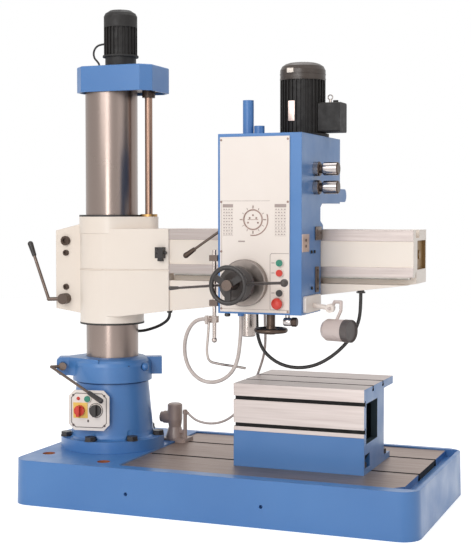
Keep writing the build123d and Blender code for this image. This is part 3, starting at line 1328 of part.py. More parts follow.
def lock_lever():
    """The head lock lever with its grip."""
    x, y, z = LOCK_HUB
    body = disc((x, y - 36, z), 15, 36 - GAP, "y") + disc((x, y - 36, z), 9, 62, "y")
    start = (x, y - 18, z)
    tip = (LOCK_TIP[0], LOCK_TIP[1] - 18, LOCK_TIP[2])
    end = (LOCK_END[0], LOCK_END[1] - 18, LOCK_END[2])
    return body + rod(start, tip, 5) + taper(tip, end, 8, 11) + Pos(*end) * Sphere(11)


def speed_knob(z):
    """A side knob with its skirt, neck and end band."""
    face = HEAD_RIGHT + GAP
    reach = KNOB_REACH
    body = turned(((0, 0), (27, 0), (27, 18), (24, 22), (16, 22), (16, 32), (22, 34), (24.5, 38), (24.5, reach - 4),
                   (21, reach), (0, reach)), (face, KNOB_Y, z), "x")
    return body + disc((face, KNOB_Y, z), 8, 28, "-x")


def push_button(z):
    """A push button on the front plate."""
    back = HEAD_FRONT - PANEL_THICK - BUTTON_TRAVEL - 0.5
    cap = disc((BUTTON_X, back, z), BUTTON_R, 7, "-y")
    return cap + disc((BUTTON_X, back, z), BUTTON_STEM_R, BUTTON_TRAVEL + 14, "y")


def stop_mushroom():
    """The red stop mushroom."""
    x, z = STOP_AT
    front = HEAD_FRONT - PANEL_THICK
    cap = turned(((0, 0), (STOP_R - 3, 0), (STOP_R, 3), (STOP_R - 2, 9), (STOP_R - 9, 14), (0, 16)),
                 (x, front - 6 - BUTTON_TRAVEL - 0.5, z), "-y")
    return cap + disc((x, front - 12, z), BUTTON_STEM_R + 2, 26, "y")


def coolant_rod():
    """The coolant rod with its tap block, tap and bent nozzle pipe."""
    body = disc((ROD_X, ROD_Y, ROD_LOW), ROD_R, ROD_TOP - ROD_LOW)
    body += Pos(ROD_X, ROD_Y, ROD_LOW) * Sphere(ROD_R + 3)
    body += block(540, ROD_X + 12, ROD_Y - 13, ROD_Y + 13, TAP_LOW, TAP_HIGH)
    body += disc((556, ROD_Y - 13, (TAP_LOW + TAP_HIGH) / 2), 8, 16, "-y")
    body += block(552, 560, ROD_Y - 36, ROD_Y - 29, TAP_LOW - 4, TAP_HIGH + 4)
    points = ((552, ROD_Y, TAP_LOW), (549, ROD_Y, 668), (542, -298, 606), (548, -292, 568), (585, -262, 556),
              (626, -230, 547), (660, -205, 538))
    return body + cord("nozzle pipe", points, 2 * NOZZLE_R)


def lamp_bracket():
    """The lamp's plate on the head's side, with its neck and knuckle."""
    x, y, z = LAMP_PIVOT
    body = block(HEAD_RIGHT, HEAD_RIGHT + 12, -288, -112, 757, 817)
    body = fillet(body.edges().filter_by(Axis.X), 12)
    body += rod((HEAD_RIGHT + 10, y, z + 10), (x, y, z), 9)
    body += disc((x, y - 12, z), 16, 24, "y")
    return body - disc((x, y - 13, z), 5 + RUN_FIT, 26, "y")


def work_lamp():
    """The work lamp with its pivot pin and curved arm."""
    x, y, z = LAMP_PIVOT
    body = disc((x, y - 22, z), 5, 44, "y") + disc((x, y + 12 + GAP, z), 12, 14, "y")
    cx, cy, cz = LAMP_CENTRE
    arm = [(x, y + 20, z), (x + 10, y + 21, z + 22), (x + 34, y + 22, z + 22), (x + 36, y + 14, z - 8),
           (x + 20, y + 4, cz + 30)]
    for start, end in zip(arm, arm[1:]):
        body += rod(start, end, 6) + Pos(*end) * Sphere(6)
    shade = turned(((0, -52), (18, -50), (32, -42), (LAMP_BODY_R, -28), (LAMP_BODY_R, 44), (LAMP_MOUTH_R, 46),
                    (LAMP_MOUTH_R, 72), (LAMP_MOUTH_R - 3, 74), (LAMP_MOUTH_R - 4, 68), (0, 68)))
    return body + Pos(cx, cy, cz) * Rot(0, 0, LAMP_TURN) * Rot(0, 90, 0) * shade


os.makedirs("parts", exist_ok=True)
save("base_casting", base_casting())
save("pedestal", pedestal())
save("fixing_bolts", *fixing_bolts())
save("thrust_bearing", *thrust_bearing())
save("clamp_ring", *clamp_ring())
save("ring_lever", ring_lever())
save("ring_lever_grip", ring_lever_grip())
save("switch_box", switch_box())
save("switch_panel", switch_panel())
save("isolator_knob", turn_knob(ISOLATOR_AT, ISOLATOR_R, 32, 18))
save("selector_knob", turn_knob(SELECTOR_AT, SELECTOR_R, 24, 12))
save("start_button", start_button())
save("box_table", box_table())
save("pump_unit", pump_unit())
save("pump_hose", cord("pump_hose", PUMP_HOSE, 10))
save("column", column())
save("top_cap", top_cap())
save("cap_plate", cap_plate())
save("lift_motor", lift_motor())
save("lift_motor_cable", cord("lift_motor_cable", LIFT_CABLE, 8))
save("lift_gear", lift_gear())
save("lead_screw", lead_screw())
save("arm_casting", arm_casting())
save("lift_nut", lift_nut())
save("sleeve_wipers", *sleeve_wipers())
save("sleeve_bolts", *sleeve_bolts())
save("traverse_rack", traverse_rack())
save("arm_end_cover", arm_end_cover())
save("limit_switch", limit_switch())
save("cable_glands", *cable_glands())
save("arm_cable", cord("arm_cable", ARM_CABLE, 12))
save("arm_lever", arm_lever())
save("arm_lever_grip", arm_lever_grip())
save("head_casting", head_casting())
save("front_panel", front_panel())
save("way_keepers", *way_keepers())
save("main_motor", main_motor())
save("main_motor_cowl", main_motor_cowl())
save("spindle_cover", *spindle_cover())
save("motor_pinion", motor_pinion())
save("lay_gears", lay_gears())
save("spindle_gear", spindle_gear())
save("quill", quill())
save("spindle", spindle())
save("feed_hub", feed_hub())
save("handwheel", handwheel())
save("fine_feed_wheel", fine_feed_wheel())
save("lock_lever", lock_lever())
save("upper_speed_knob", speed_knob(KNOB_HEIGHTS[0]))
save("lower_speed_knob", speed_knob(KNOB_HEIGHTS[1]))
for button, height in BUTTON_HEIGHTS.items():
    save(button, push_button(height))
save("stop_mushroom", stop_mushroom())
save("coolant_rod", coolant_rod())
save("coolant_hose", cord("coolant_hose", COOLANT_HOSE, 14))
save("supply_hose", cord("supply_hose", SUPPLY_HOSE, 10))
save("head_cable", cord("head_cable", HEAD_CABLE, 13))
save("lamp_bracket", lamp_bracket())
save("work_lamp", work_lamp())
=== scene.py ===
import math

import bmesh
import bpy
from mathutils import Matrix, Vector


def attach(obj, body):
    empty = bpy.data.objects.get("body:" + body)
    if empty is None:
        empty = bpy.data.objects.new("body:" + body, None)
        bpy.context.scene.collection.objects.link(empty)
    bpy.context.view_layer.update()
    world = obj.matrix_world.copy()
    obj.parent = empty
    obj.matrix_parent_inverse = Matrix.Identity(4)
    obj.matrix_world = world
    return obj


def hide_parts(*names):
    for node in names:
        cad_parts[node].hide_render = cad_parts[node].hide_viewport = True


# Radial arm drill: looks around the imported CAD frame.
# Places are written in millimetres, in the CAD's own axes, and turned into metres where meshes are made.

MM = 0.001
X, Y, Z = range(3)

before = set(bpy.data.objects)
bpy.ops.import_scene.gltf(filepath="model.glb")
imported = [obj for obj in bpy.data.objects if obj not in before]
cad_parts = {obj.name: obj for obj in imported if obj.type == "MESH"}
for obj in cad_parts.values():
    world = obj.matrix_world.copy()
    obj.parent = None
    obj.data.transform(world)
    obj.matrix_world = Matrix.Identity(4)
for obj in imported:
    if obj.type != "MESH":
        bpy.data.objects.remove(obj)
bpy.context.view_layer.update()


def edge(name, axis, end):
    """Where a CAD node ends on an axis, with min or max as the end, to a tenth of a millimetre."""
    return round(end(vertex.co[axis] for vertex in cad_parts[name].data.vertices) / MM, 1)


# Places read from the frame

HEAD_RIGHT = edge("head_casting", X, max)
MOTOR_X = (edge("main_motor_cowl", X, min) + edge("main_motor_cowl", X, max)) / 2
COWL_LOW = edge("main_motor_cowl", Z, min)
COWL_TOP = edge("main_motor_cowl", Z, max)
TABLE_LEFT = edge("box_table", X, min)
TABLE_RIGHT = edge("box_table", X, max)
TABLE_FRONT = edge("box_table", Y, min)
TABLE_TOP = edge("box_table", Z, max)
BASE_RIM = edge("base_casting", Z, max)

# Places repeated from the part's source, where no node ends

HEAD_FACE = -311.0
HEAD_FLOOR = 750.0
SWITCH_FACE = -190.0
SWITCH_TURN = 8.29
BASE_TOP = 165.0
BASE_SLOT_ROWS = (-84.0, 192.0)
BASE_SLOT_LOW = 136.5
TABLE_TOP_SLOTS = (-62.0, 82.0)
TABLE_FRONT_SLOTS = (323.0, 424.0)
ANCHORS = ((-150.0, -255.0), (126.0, -321.0), (-150.0, 255.0), (126.0, 321.0))
FEED_AXIS = (702.0, 864.0)
DOME_NUT = (130.0, 500.0)
LAMP_MIDDLE = Vector((1004.0, -200.0, 692.0))
LAMP_TURN = math.radians(-17)


def srgb(red, green, blue):
    """A colour in values of 0 to 255 turned into Blender's linear values."""
    values = []
    for value in (red, green, blue):
        part = value / 255.0
        values.append(part / 12.92 if part <= 0.04045 else ((part + 0.055) / 1.055) ** 2.4)
    return (*values, 1.0)


# Camera

CAMERA_PLACE = (2.2702, -4.3894, 1.1197)
CAMERA_TILT = 87.85
CAMERA_TURN = 20.99
SENSOR_HEIGHT = 36.0
LENS = 79.43
LENS_SHIFT = (-0.0206, -0.0304)
FARTHEST_SEEN = 60.0


def make_camera():
    """The photograph's viewpoint, fitted to the machine's long edges."""
    data = bpy.data.cameras.new("camera")
    data.sensor_fit = "VERTICAL"
    data.sensor_height = SENSOR_HEIGHT
    data.lens = LENS
    data.shift_x, data.shift_y = LENS_SHIFT
    data.clip_end = FARTHEST_SEEN
    camera = bpy.data.objects.new("camera", data)
    camera.location = CAMERA_PLACE
    camera.rotation_euler = (math.radians(CAMERA_TILT), 0.0, math.radians(CAMERA_TURN))
    bpy.context.scene.collection.objects.link(camera)
    bpy.context.scene.camera = camera


make_camera()


# Materials

EVEN = (1.0, 1.0, 1.0)


class Look:
    """A procedural material on one Principled shader."""

    def __init__(self, name, colour, metallic=0.0, roughness=0.5):
        self.material = bpy.data.materials.new(name)
        self.material.use_nodes = True
        self.tree = self.material.node_tree
        self.shader = self.tree.nodes["Principled BSDF"]
        self.shader.inputs["Base Color"].default_value = colour
        self.shader.inputs["Metallic"].default_value = metallic
        self.shader.inputs["Roughness"].default_value = roughness
        self.colour = colour
        self.where = self.tree.nodes.new("ShaderNodeTexCoord").outputs["Object"]

    def node(self, kind, **settings):
        """A new node with its settings."""
        made = self.tree.nodes.new(kind)
        for key, value in settings.items():
            setattr(made, key, value)
        return made

    def join(self, start, end):
        """A link from one socket to another."""
        self.tree.links.new(start, end)

    def noise(self, scale, detail=3.0, stretch=EVEN):
        """A noise over the object, finer in the directions that stretch names."""
        mapping = self.node("ShaderNodeMapping")
        mapping.inputs["Scale"].default_value = stretch
        self.join(self.where, mapping.inputs["Vector"])
        texture = self.node("ShaderNodeTexNoise")
        texture.inputs["Scale"].default_value = scale
        texture.inputs["Detail"].default_value = detail
        self.join(mapping.outputs["Vector"], texture.inputs["Vector"])
        return texture.outputs["Fac"]

    def spread(self, value, low, high, start=0.3, stop=0.7):
        """A value mapped onto a new range."""
        mapped = self.node("ShaderNodeMapRange")
        mapped.inputs["From Min"].default_value = start
        mapped.inputs["From Max"].default_value = stop
        mapped.inputs["To Min"].default_value = low
        mapped.inputs["To Max"].default_value = high
        self.join(value, mapped.inputs["Value"])
        return mapped.outputs["Result"]

    def blend(self, factor, first, second):
        """One colour mixed into another."""
        mix = self.node("ShaderNodeMix", data_type="RGBA")
        self.join(factor, mix.inputs["Factor"])
        for socket, value in ((mix.inputs[6], first), (mix.inputs[7], second)):
            if isinstance(value, tuple):
                socket.default_value = value
            else:
                self.join(value, socket)
        return mix.outputs[2]

    def mottle(self, scale, other, amount=1.0, stretch=EVEN):
        """The base colour clouded with another colour."""
        factor = self.spread(self.noise(scale, 4.0, stretch), 0.0, amount)
        current = self.shader.inputs["Base Color"]
        first = current.links[0].from_socket if current.links else self.colour
        self.join(self.blend(factor, first, other), current)

    def gloss(self, scale, low, high, stretch=EVEN):
        """Roughness that varies over the surface."""
        self.join(self.spread(self.noise(scale, 3.0, stretch), low, high), self.shader.inputs["Roughness"])

    def grain(self, scale, strength, distance=0.0004, stretch=EVEN, round_edges=0.0):
        """A fine relief, over edges rounded to a small radius."""
        bump = self.node("ShaderNodeBump")
        bump.inputs["Strength"].default_value = strength
        bump.inputs["Distance"].default_value = distance
        self.join(self.noise(scale, 2.0, stretch), bump.inputs["Height"])
        if round_edges:
            bevel = self.node("ShaderNodeBevel", samples=4)
            bevel.inputs["Radius"].default_value = round_edges
            self.join(bevel.outputs["Normal"], bump.inputs["Normal"])
        self.join(bump.outputs["Normal"], self.shader.inputs["Normal"])


def enamel(name, colour, cloud, roughness=0.34, rounding=0.0025):
    """Machine enamel on a casting."""
    look = Look(name, colour, 0.0, roughness)
    look.shader.inputs["Coat Weight"].default_value = 0.12
    look.shader.inputs["Coat Roughness"].default_value = 0.2
    look.mottle(scale=2.2, other=cloud, amount=0.8)
    look.gloss(scale=9.0, low=roughness - 0.06, high=roughness + 0.1)
    look.grain(scale=130.0, strength=0.25, distance=0.0004, round_edges=rounding)
    return look.material


def steel(name, colour, cloud, roughness, stretch=EVEN, scale=6.0):
    """Machined metal with its tool marks drawn out one way."""
    look = Look(name, colour, 1.0, roughness)
    look.mottle(scale=scale, other=cloud, amount=0.8, stretch=stretch)
    look.gloss(scale=scale * 2, low=roughness - 0.07, high=roughness + 0.1, stretch=stretch)
    look.grain(scale=scale * 12, strength=0.12, distance=0.0002, stretch=stretch, round_edges=0.0008)
    return look.material


def moulded(name, colour, cloud, roughness=0.3):
    """Moulded plastic or rubber."""
    look = Look(name, colour, 0.0, roughness)
    look.mottle(scale=30.0, other=cloud, amount=0.6)
    look.gloss(scale=40.0, low=roughness - 0.05, high=roughness + 0.12)
    look.grain(scale=500.0, strength=0.15, distance=0.0002, round_edges=0.001)
    return look.material


RINGS = (1.0, 1.0, 40.0)
ALONG_X = (0.6, 30.0, 30.0)
BROAD_ALONG_X = (0.4, 12.0, 12.0)
ALONG_Z = (1.0, 1.0, 0.3)
LOOKS = {
    "blue": enamel("blue_enamel", srgb(74, 124, 182), srgb(64, 112, 170)),
    "cream": enamel("cream_enamel", srgb(236, 224, 212), srgb(226, 212, 198)),
    "ground": steel("ground_iron", srgb(190, 180, 176), srgb(176, 164, 160), 0.46, BROAD_ALONG_X),
    "guide": steel("guide_iron", srgb(164, 154, 150), srgb(150, 140, 136), 0.4, ALONG_X),
    # Darker and browner than the ground iron: painted shade and reflection on the base's top.
    "shaded_base_top": steel("base_ground_iron_shaded", srgb(164, 148, 140), srgb(138, 120, 112), 0.46, ALONG_X),
    "column": steel("ground_column", srgb(146, 132, 125), srgb(136, 122, 115), 0.3, ALONG_Z, scale=2.0),
    "screwbar": steel("lead_screw_steel", srgb(160, 132, 116), srgb(140, 112, 98), 0.28, ALONG_Z, scale=3.0),
    "bright": steel("bright_steel", srgb(184, 174, 168), srgb(168, 156, 150), 0.24),
    "bar": steel("lever_bar", srgb(112, 99, 92), srgb(92, 80, 73), 0.3, scale=8.0),
    "dark": steel("dark_steel", srgb(92, 78, 70), srgb(68, 58, 52), 0.38, scale=8.0),
    "recess": enamel("bare_recess", srgb(150, 118, 72), srgb(126, 96, 58), 0.55, 0.001),
    "rust": enamel("slot_rust", srgb(176, 104, 62), srgb(150, 84, 50), 0.6, 0.0005),
    "gear": steel("gear_steel", srgb(160, 156, 150), srgb(130, 126, 120), 0.35, scale=20.0),
    "bronze": steel("bronze", srgb(190, 150, 96), srgb(160, 120, 70), 0.35, RINGS),
    "chrome": steel("chrome", srgb(186, 180, 178), srgb(160, 152, 148), 0.12, scale=12.0),
    "motor": moulded("motor_black", srgb(24, 20, 18), srgb(17, 14, 12), 0.6),
    "hub": enamel("hub_brown_black", srgb(66, 56, 52), srgb(48, 41, 38), 0.34, 0.001),
    "bolt": enamel("blackened_bolt", srgb(50, 44, 42), srgb(36, 32, 30), 0.4, 0.001),
    # Dark blue-grey: painted shade inside the table.
    "window_shade": enamel("painted_shade_inside", srgb(44, 62, 72), srgb(36, 50, 58), 0.6, 0.001),
    "cowl": enamel("cowl_brown", srgb(62, 50, 42), srgb(48, 38, 32), 0.4, 0.001),
    "panel": enamel("panel_plate", srgb(232, 222, 214), srgb(222, 208, 198), 0.36, 0.0008),
    "green": moulded("green_plastic", srgb(48, 136, 110), srgb(38, 118, 96)),
    "red": moulded("red_plastic", srgb(214, 60, 44), srgb(190, 44, 32)),
    "black": moulded("black_plastic", srgb(44, 38, 36), srgb(32, 28, 27)),
    "yellow": moulded("yellow_plate", srgb(236, 196, 96), srgb(226, 182, 80), 0.4),
    "cable": moulded("black_cable", srgb(40, 36, 34), srgb(30, 27, 26), 0.5),
    "hose": moulded("grey_hose", srgb(196, 184, 178), srgb(170, 156, 150), 0.36),
    "pump": enamel("pump_casting", srgb(176, 156, 146), srgb(126, 104, 94), 0.4, 0.001),
    "ink": moulded("grey_ink", srgb(168, 152, 146), srgb(150, 134, 128), 0.5),
    "ink_dark": moulded("dark_ink", srgb(96, 84, 80), srgb(80, 70, 66), 0.5),
    "dial": steel("graduated_dial", srgb(150, 140, 134), srgb(126, 116, 110), 0.36, scale=20.0),
    "plate": steel("bare_plate", srgb(206, 186, 178), srgb(184, 164, 156), 0.36, scale=30.0),
    "screw": steel("small_screw", srgb(150, 128, 120), srgb(120, 100, 92), 0.3, scale=40.0),
    # Near-black: painted shade in the T-slots, and the real black of the side buttons.
    "black_and_shade": moulded("black_and_painted_shade", srgb(26, 24, 24), srgb(20, 19, 19), 0.7),
    "lamp": enamel("lamp_enamel", srgb(206, 190, 184), srgb(192, 176, 170), 0.3, 0.001),
    # Dark grey: painted shade inside the lamp's mouth.
    "mouth_shade": moulded("lamp_mouth_shade", srgb(92, 84, 82), srgb(74, 67, 65), 0.35),
}

NODE_LOOKS = {
    "blue": ("base_casting", "pedestal", "clamp_ring", "switch_box", "top_cap", "head_casting",
             "spindle_cover", "box_table"),
    "cream": ("arm_casting",),
    "ground": ("way_keepers",),
    "column": ("column",),
    "screwbar": ("lead_screw",),
    "bar": ("ring_lever", "arm_lever", "lock_lever"),
    "bright": ("quill", "spindle", "coolant_rod"),
    "dark": ("cap_plate", "sleeve_bolts", "fine_feed_wheel"),
    "recess": ("arm_end_cover",),
    "bolt": ("fixing_bolts",),
    # The black sleeve wipers are partly real rubber and partly painted shade at the sleeve's rims.
    "cable": ("sleeve_wipers",),
    "hub": ("feed_hub",),
    "gear": ("thrust_bearing", "lift_gear", "traverse_rack", "motor_pinion", "lay_gears", "spindle_gear"),
    "bronze": ("lift_nut",),
    "chrome": ("upper_speed_knob", "lower_speed_knob"),
    "motor": ("lift_motor", "main_motor"),
    "cowl": ("main_motor_cowl",),
    "panel": ("switch_panel", "front_panel", "lamp_bracket"),
    "green": ("start_button", "green_button"),
    "red": ("isolator_knob", "red_button", "stop_mushroom"),
    "black": ("ring_lever_grip", "arm_lever_grip", "selector_knob", "black_button", "handwheel",
              "limit_switch", "cable_glands"),
    "pump": ("pump_unit",),
    "lamp": ("work_lamp",),
}


def dress_nodes():
    """Give every CAD node its procedural material."""
    for look, names in NODE_LOOKS.items():
        for name in names:
            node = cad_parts[name]
            node.data.materials.clear()
            node.data.materials.append(LOOKS[look])


# Cords: each route repeats its points in the part's source, in metres

ROUTES = {
    "pump_hose": (
        (0.25832, 0.18, 0.283144), (0.27977, 0.18, 0.265147), (0.306, 0.18, 0.254), (0.344, 0.18, 0.248),
        (0.386, 0.178, 0.252), (0.426, 0.175, 0.266), (0.462, 0.169, 0.29), (0.497, 0.16, 0.323),
        (0.53, 0.148, 0.361), (0.558, 0.134, 0.402), (0.576, 0.121, 0.44)),
    "supply_hose": (
        (0.697, -0.097, 0.74), (0.697, -0.097, 0.702), (0.69, -0.072, 0.662), (0.672, -0.024, 0.612),
        (0.65, 0.024, 0.57), (0.624, 0.068, 0.528), (0.6, 0.098, 0.488), (0.576, 0.121, 0.444)),
    "coolant_hose": (
        (0.671, -0.28, 0.74), (0.671, -0.28, 0.69), (0.666, -0.28, 0.632), (0.658, -0.28, 0.576),
        (0.635, -0.28, 0.529), (0.596, -0.28, 0.499), (0.552, -0.28, 0.488), (0.508, -0.28, 0.496),
        (0.472, -0.281, 0.525), (0.451, -0.283, 0.568), (0.446, -0.285, 0.616), (0.456, -0.29, 0.664),
        (0.48, -0.296, 0.704), (0.513, -0.3, 0.726), (0.54, -0.3, 0.726)),
    "head_cable": (
        (0.664, -0.097, 0.74), (0.664, -0.097, 0.692), (0.669, -0.098, 0.642), (0.692, -0.1, 0.592),
        (0.738, -0.103, 0.556), (0.79, -0.106, 0.538), (0.848, -0.108, 0.536), (0.904, -0.106, 0.549),
        (0.956, -0.1, 0.578), (1.002, -0.092, 0.618), (1.038, -0.082, 0.664), (1.057, -0.066, 0.714),
        (1.058, -0.046, 0.768), (1.058, -0.046, 0.818)),
    "arm_cable": (
        (0.238, 0.04, 0.714), (0.238, 0.04, 0.7), (0.228, 0.042, 0.684), (0.208, 0.048, 0.67),
        (0.182, 0.057, 0.657), (0.148, 0.069, 0.645), (0.112, 0.084, 0.635), (0.08, 0.099, 0.629),
        (0.054, 0.112, 0.627), (0.034, 0.119, 0.632), (0.022, 0.118, 0.644), (0.022, 0.118, 0.658)),
    "lift_motor_cable": (
        (-0.02475, 0.0, 1.798), (-0.046, 0.0, 1.798), (-0.068, 0.0, 1.79), (-0.081, 0.0, 1.77),
        (-0.079, 0.0, 1.746), (-0.064, 0.0, 1.73), (-0.054, 0.0, 1.718), (-0.054, 0.0, 1.699)),
}

CORDS = (
    ("pump_hose", "hose", "base", 0.010, 0.418, "medium"),
    ("supply_hose", "hose", "head", 0.010, 0.400, "medium"),
    ("coolant_hose", "hose", "head", 0.014, 0.656, "medium"),
    ("head_cable", "cable", "head", 0.013, 0.722, "stiff"),
    ("arm_cable", "cable", "arm", 0.012, 0.282, "stiff"),
    ("lift_motor_cable", "cable", "column", 0.008, 0.146, "stiff"),
)


def lay_cord(name, look, body, diameter, length, stiffness):
    """A round cord on its smooth route, in place of the hidden CAD node."""
    curve = bpy.data.curves.new(name + "_run", "CURVE")
    curve.dimensions = "3D"
    curve.bevel_depth = diameter / 2
    curve.bevel_resolution = 8
    curve.resolution_u = 16
    route = ROUTES[name]
    spline = curve.splines.new("NURBS")
    spline.points.add(len(route) - 1)
    for point, place in zip(spline.points, route):
        point.co = (*place, 1.0)
    spline.order_u = 3
    spline.use_endpoint_u = True
    curve.materials.append(LOOKS[look])
    piece = bpy.data.objects.new(name + "_run", curve)
    bpy.context.scene.collection.objects.link(piece)
    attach(piece, body)
    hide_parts(name)


for cord in CORDS:
    lay_cord(*cord)
dress_nodes()


# Mesh pieces

SHARP_EDGE = math.radians(35)
WAYS = {
    "z": Matrix.Identity(3),
    "-z": Matrix.Rotation(math.pi, 3, "X"),
    "x": Matrix.Rotation(math.pi / 2, 3, "Y"),
    "-x": Matrix.Rotation(-math.pi / 2, 3, "Y"),
    "y": Matrix.Rotation(-math.pi / 2, 3, "X"),
    "-y": Matrix.Rotation(math.pi / 2, 3, "X"),
}


class Piece:
    """A mesh piece made of boxes, turned forms and bars, in millimetres."""

    def __init__(self, name, look, body, turn=0.0):
        self.name = name
        self.look = look
        self.body = body
        self.turn = Matrix.Rotation(math.radians(turn), 3, "Z")
        self.mesh = bmesh.new()

    def place(self, point):
        """A point in millimetres to its place in metres."""
        return self.turn @ Vector(point) * MM

    def box(self, x0, x1, y0, y1, z0, z1, soft=0.8):
        """A box with softened edges."""
        corners = [self.mesh.verts.new(self.place((x, y, z)))
                   for z in (z0, z1) for y in (y0, y1) for x in (x0, x1)]
        faces = [(0, 2, 3, 1), (4, 5, 7, 6), (0, 1, 5, 4), (2, 6, 7, 3), (0, 4, 6, 2), (1, 3, 7, 5)]
        made = [self.mesh.faces.new([corners[i] for i in face]) for face in faces]
        sides = list({side for face in made for side in face.edges})
        bmesh.ops.bevel(self.mesh, geom=sides, offset=soft * MM, segments=2, affect="EDGES", profile=0.6)

    def circle(self, origin, spin, radius, height, sides):
        """A ring of corners round an axis, or one corner on it where the radius is nothing."""
        ring = []
        for index in range(sides if radius > 0.0 else 1):
            angle = 2 * math.pi * index / sides
            local = Vector((radius * math.cos(angle), radius * math.sin(angle), height))
            ring.append(self.mesh.verts.new(self.place(Vector(origin) + spin @ local)))
        return ring

    def lathe(self, profile, at, way="z", sides=40):
        """A turned form from (radius, height) points."""
        rings = [self.circle(at, WAYS[way], radius, height, sides) for radius, height in profile]
        for low, high in zip(rings, rings[1:]):
            self.skin(low, high, sides)

    def skin(self, low, high, sides):
        """The faces between two rings, either of which may be a single point."""
        for index in range(sides):
            after = (index + 1) % sides
            if len(low) == 1:
                self.mesh.faces.new((low[0], high[after], high[index]))
            elif len(high) == 1:
                self.mesh.faces.new((low[index], low[after], high[0]))
            else:
                self.mesh.faces.new((low[index], low[after], high[after], high[index]))

    def disc(self, at, radius, thick, way="z", sides=40, soft=0.6):
        """A solid disc with softened edges."""
        soft = min(soft, thick * 0.45, radius * 0.45)
        profile = ((0, 0), (radius - soft, 0), (radius, soft), (radius, thick - soft), (radius - soft, thick),
                   (0, thick))
        self.lathe(profile, at, way, sides)

    def ring(self, at, outer, inner, thick, way="z", sides=48):
        """A flat ring."""
        soft = min(0.5, thick * 0.4)
        profile = ((inner, 0), (outer - soft, 0), (outer, soft), (outer, thick - soft), (outer - soft, thick),
                   (inner, thick), (inner, 0))
        self.lathe(profile, at, way, sides)

    def bar(self, start, end, radius, sides=16):
        """A round bar between two points."""
        along = Vector(end) - Vector(start)
        spin = along.to_track_quat("Z", "Y").to_matrix()
        low, high = [self.circle(start, spin, radius, height, sides) for height in (0.0, along.length)]
        self.skin(low, high, sides)
        self.mesh.faces.new(list(reversed(low)))
        self.mesh.faces.new(high)

    def done(self):
        """Turn the mesh into an object that rides on its body."""
        bmesh.ops.recalc_face_normals(self.mesh, faces=self.mesh.faces)
        data = bpy.data.meshes.new(self.name)
        self.mesh.to_mesh(data)
        self.mesh.free()
        data.materials.append(LOOKS[self.look])
        piece = bpy.data.objects.new(self.name, data)
        bpy.context.scene.collection.objects.link(piece)
        for polygon in data.polygons:
            polygon.use_smooth = True
        data.set_sharp_from_angle(angle=SHARP_EDGE)
        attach(piece, self.body)


# Second finishes on the CAD nodes, each chosen by a test on a face's corners and normal

FACING = 0.9
ACROSS = 0.5
NEAR = 0.1
ANYWHERE = (-math.inf, math.inf)


def paint(name, look, test):
    """Give the faces of a CAD node that pass a test another material."""
    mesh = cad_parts[name].data
    mesh.materials.append(LOOKS[look])
    index = len(mesh.materials) - 1
    for polygon in mesh.polygons:
        corners = [mesh.vertices[i].co / MM for i in polygon.vertices]
        if test(corners, polygon.normal):
            polygon.material_index = index


def inside(x=ANYWHERE, y=ANYWHERE, z=ANYWHERE):
    """A test that every corner of a face lies within a range on each axis."""
    ranges = (x, y, z)
    return lambda corners, normal: all(
        low < corner[axis] < high for corner in corners for axis, (low, high) in enumerate(ranges))


def off_axis(point, axis):
    """How far a point lies from a line along Y, given as the line's X and Z."""
    return math.hypot(point[X] - axis[0], point[Z] - axis[1])


def near_axis(axis, radius, front=math.inf):
    """A test that every corner lies close to a line along Y and in front of a place on it."""
    return lambda corners, normal: all(off_axis(c, axis) <= radius and c[Y] < front for c in corners)


def base_ground(corners, normal):
    """The base's machined top, darker and browner than the table's iron as painted shade and reflection."""
    return normal[Z] > FACING and all(abs(c[Z] - BASE_TOP) < NEAR for c in corners)


def in_base_slot(corners, left):
    """Whether a face lies in one of the base's T-slots, right of a place along it."""
    half_width = 16
    return all(BASE_SLOT_LOW < c[Z] < BASE_TOP + NEAR and c[X] > left
               and min(abs(c[Y] - row) for row in BASE_SLOT_ROWS) < half_width for c in corners)


def base_slot(corners, normal):
    """The inside of the base's T-slots, painted near-black as shade."""
    return normal[Z] < FACING and in_base_slot(corners, 208)


def rusted(corners, normal):
    """The walls of the anchor holes and of the left ends of the base's T-slots."""
    slot_left, slot_end, hole = 200, 290, 26
    if abs(normal[Z]) >= ACROSS:
        return False
    if in_base_slot(corners, slot_left) and all(c[X] < slot_end for c in corners):
        return True
    return all(c[Z] < BASE_RIM + NEAR for c in corners) and any(
        all(math.hypot(c[X] - x, c[Y] - y) < hole for c in corners) for x, y in ANCHORS)


def table_ground(corners, normal):
    """The table's machined top and front."""
    ground_low = 300
    front = normal[Y] < -FACING and all(c[Y] < TABLE_FRONT + NEAR and c[Z] > ground_low for c in corners)
    return front or (normal[Z] > FACING and all(c[Z] > TABLE_TOP - NEAR for c in corners))


def table_hollow(corners, normal):
    """The table's inside, seen through its end windows, painted dark blue-grey as shade."""
    within, past_ends = 1.0, 0.2
    if not inside((TABLE_LEFT - past_ends, TABLE_RIGHT + past_ends), (-157, 70), (190, 425))(corners, normal):
        return False
    return abs(normal[X]) < ACROSS or inside((TABLE_LEFT + within, TABLE_RIGHT - within))(corners, normal)


def table_slot(corners, normal):
    """The walls of the table's T-slots, painted near-black as shade."""
    half_width, top_slot_low, front_slot_back = 13, 455, -165
    if abs(normal[X]) >= ACROSS:
        return False
    top = any(all(abs(c[Y] - row) < half_width and c[Z] > top_slot_low for c in corners)
              for row in TABLE_TOP_SLOTS)
    return top or any(all(abs(c[Z] - row) < half_width and c[Y] < front_slot_back for c in corners)
                      for row in TABLE_FRONT_SLOTS)


def guide_face(corners, normal):
    """The ground guides along the arm, right of the cast pad."""
    pad_right, arm_back, guide_front, lower_guide_low, upper_guide_top = 289.9, 60, -79.9, 879.9, 1053
    if not all(c[X] >= pad_right and c[Y] <= arm_back for c in corners):
        return False
    front = abs(normal[Y]) > FACING and all(c[Y] < guide_front and c[Z] > lower_guide_low for c in corners)
    return front or (normal[Z] > FACING and all(c[Z] > upper_guide_top for c in corners))


def feed_dial(corners, normal):
    """The graduated dial behind the feed hub."""
    dial_front, neck_radius = -343, 39.5
    return all(c[Y] > dial_front and off_axis(c, FEED_AXIS) > neck_radius for c in corners)


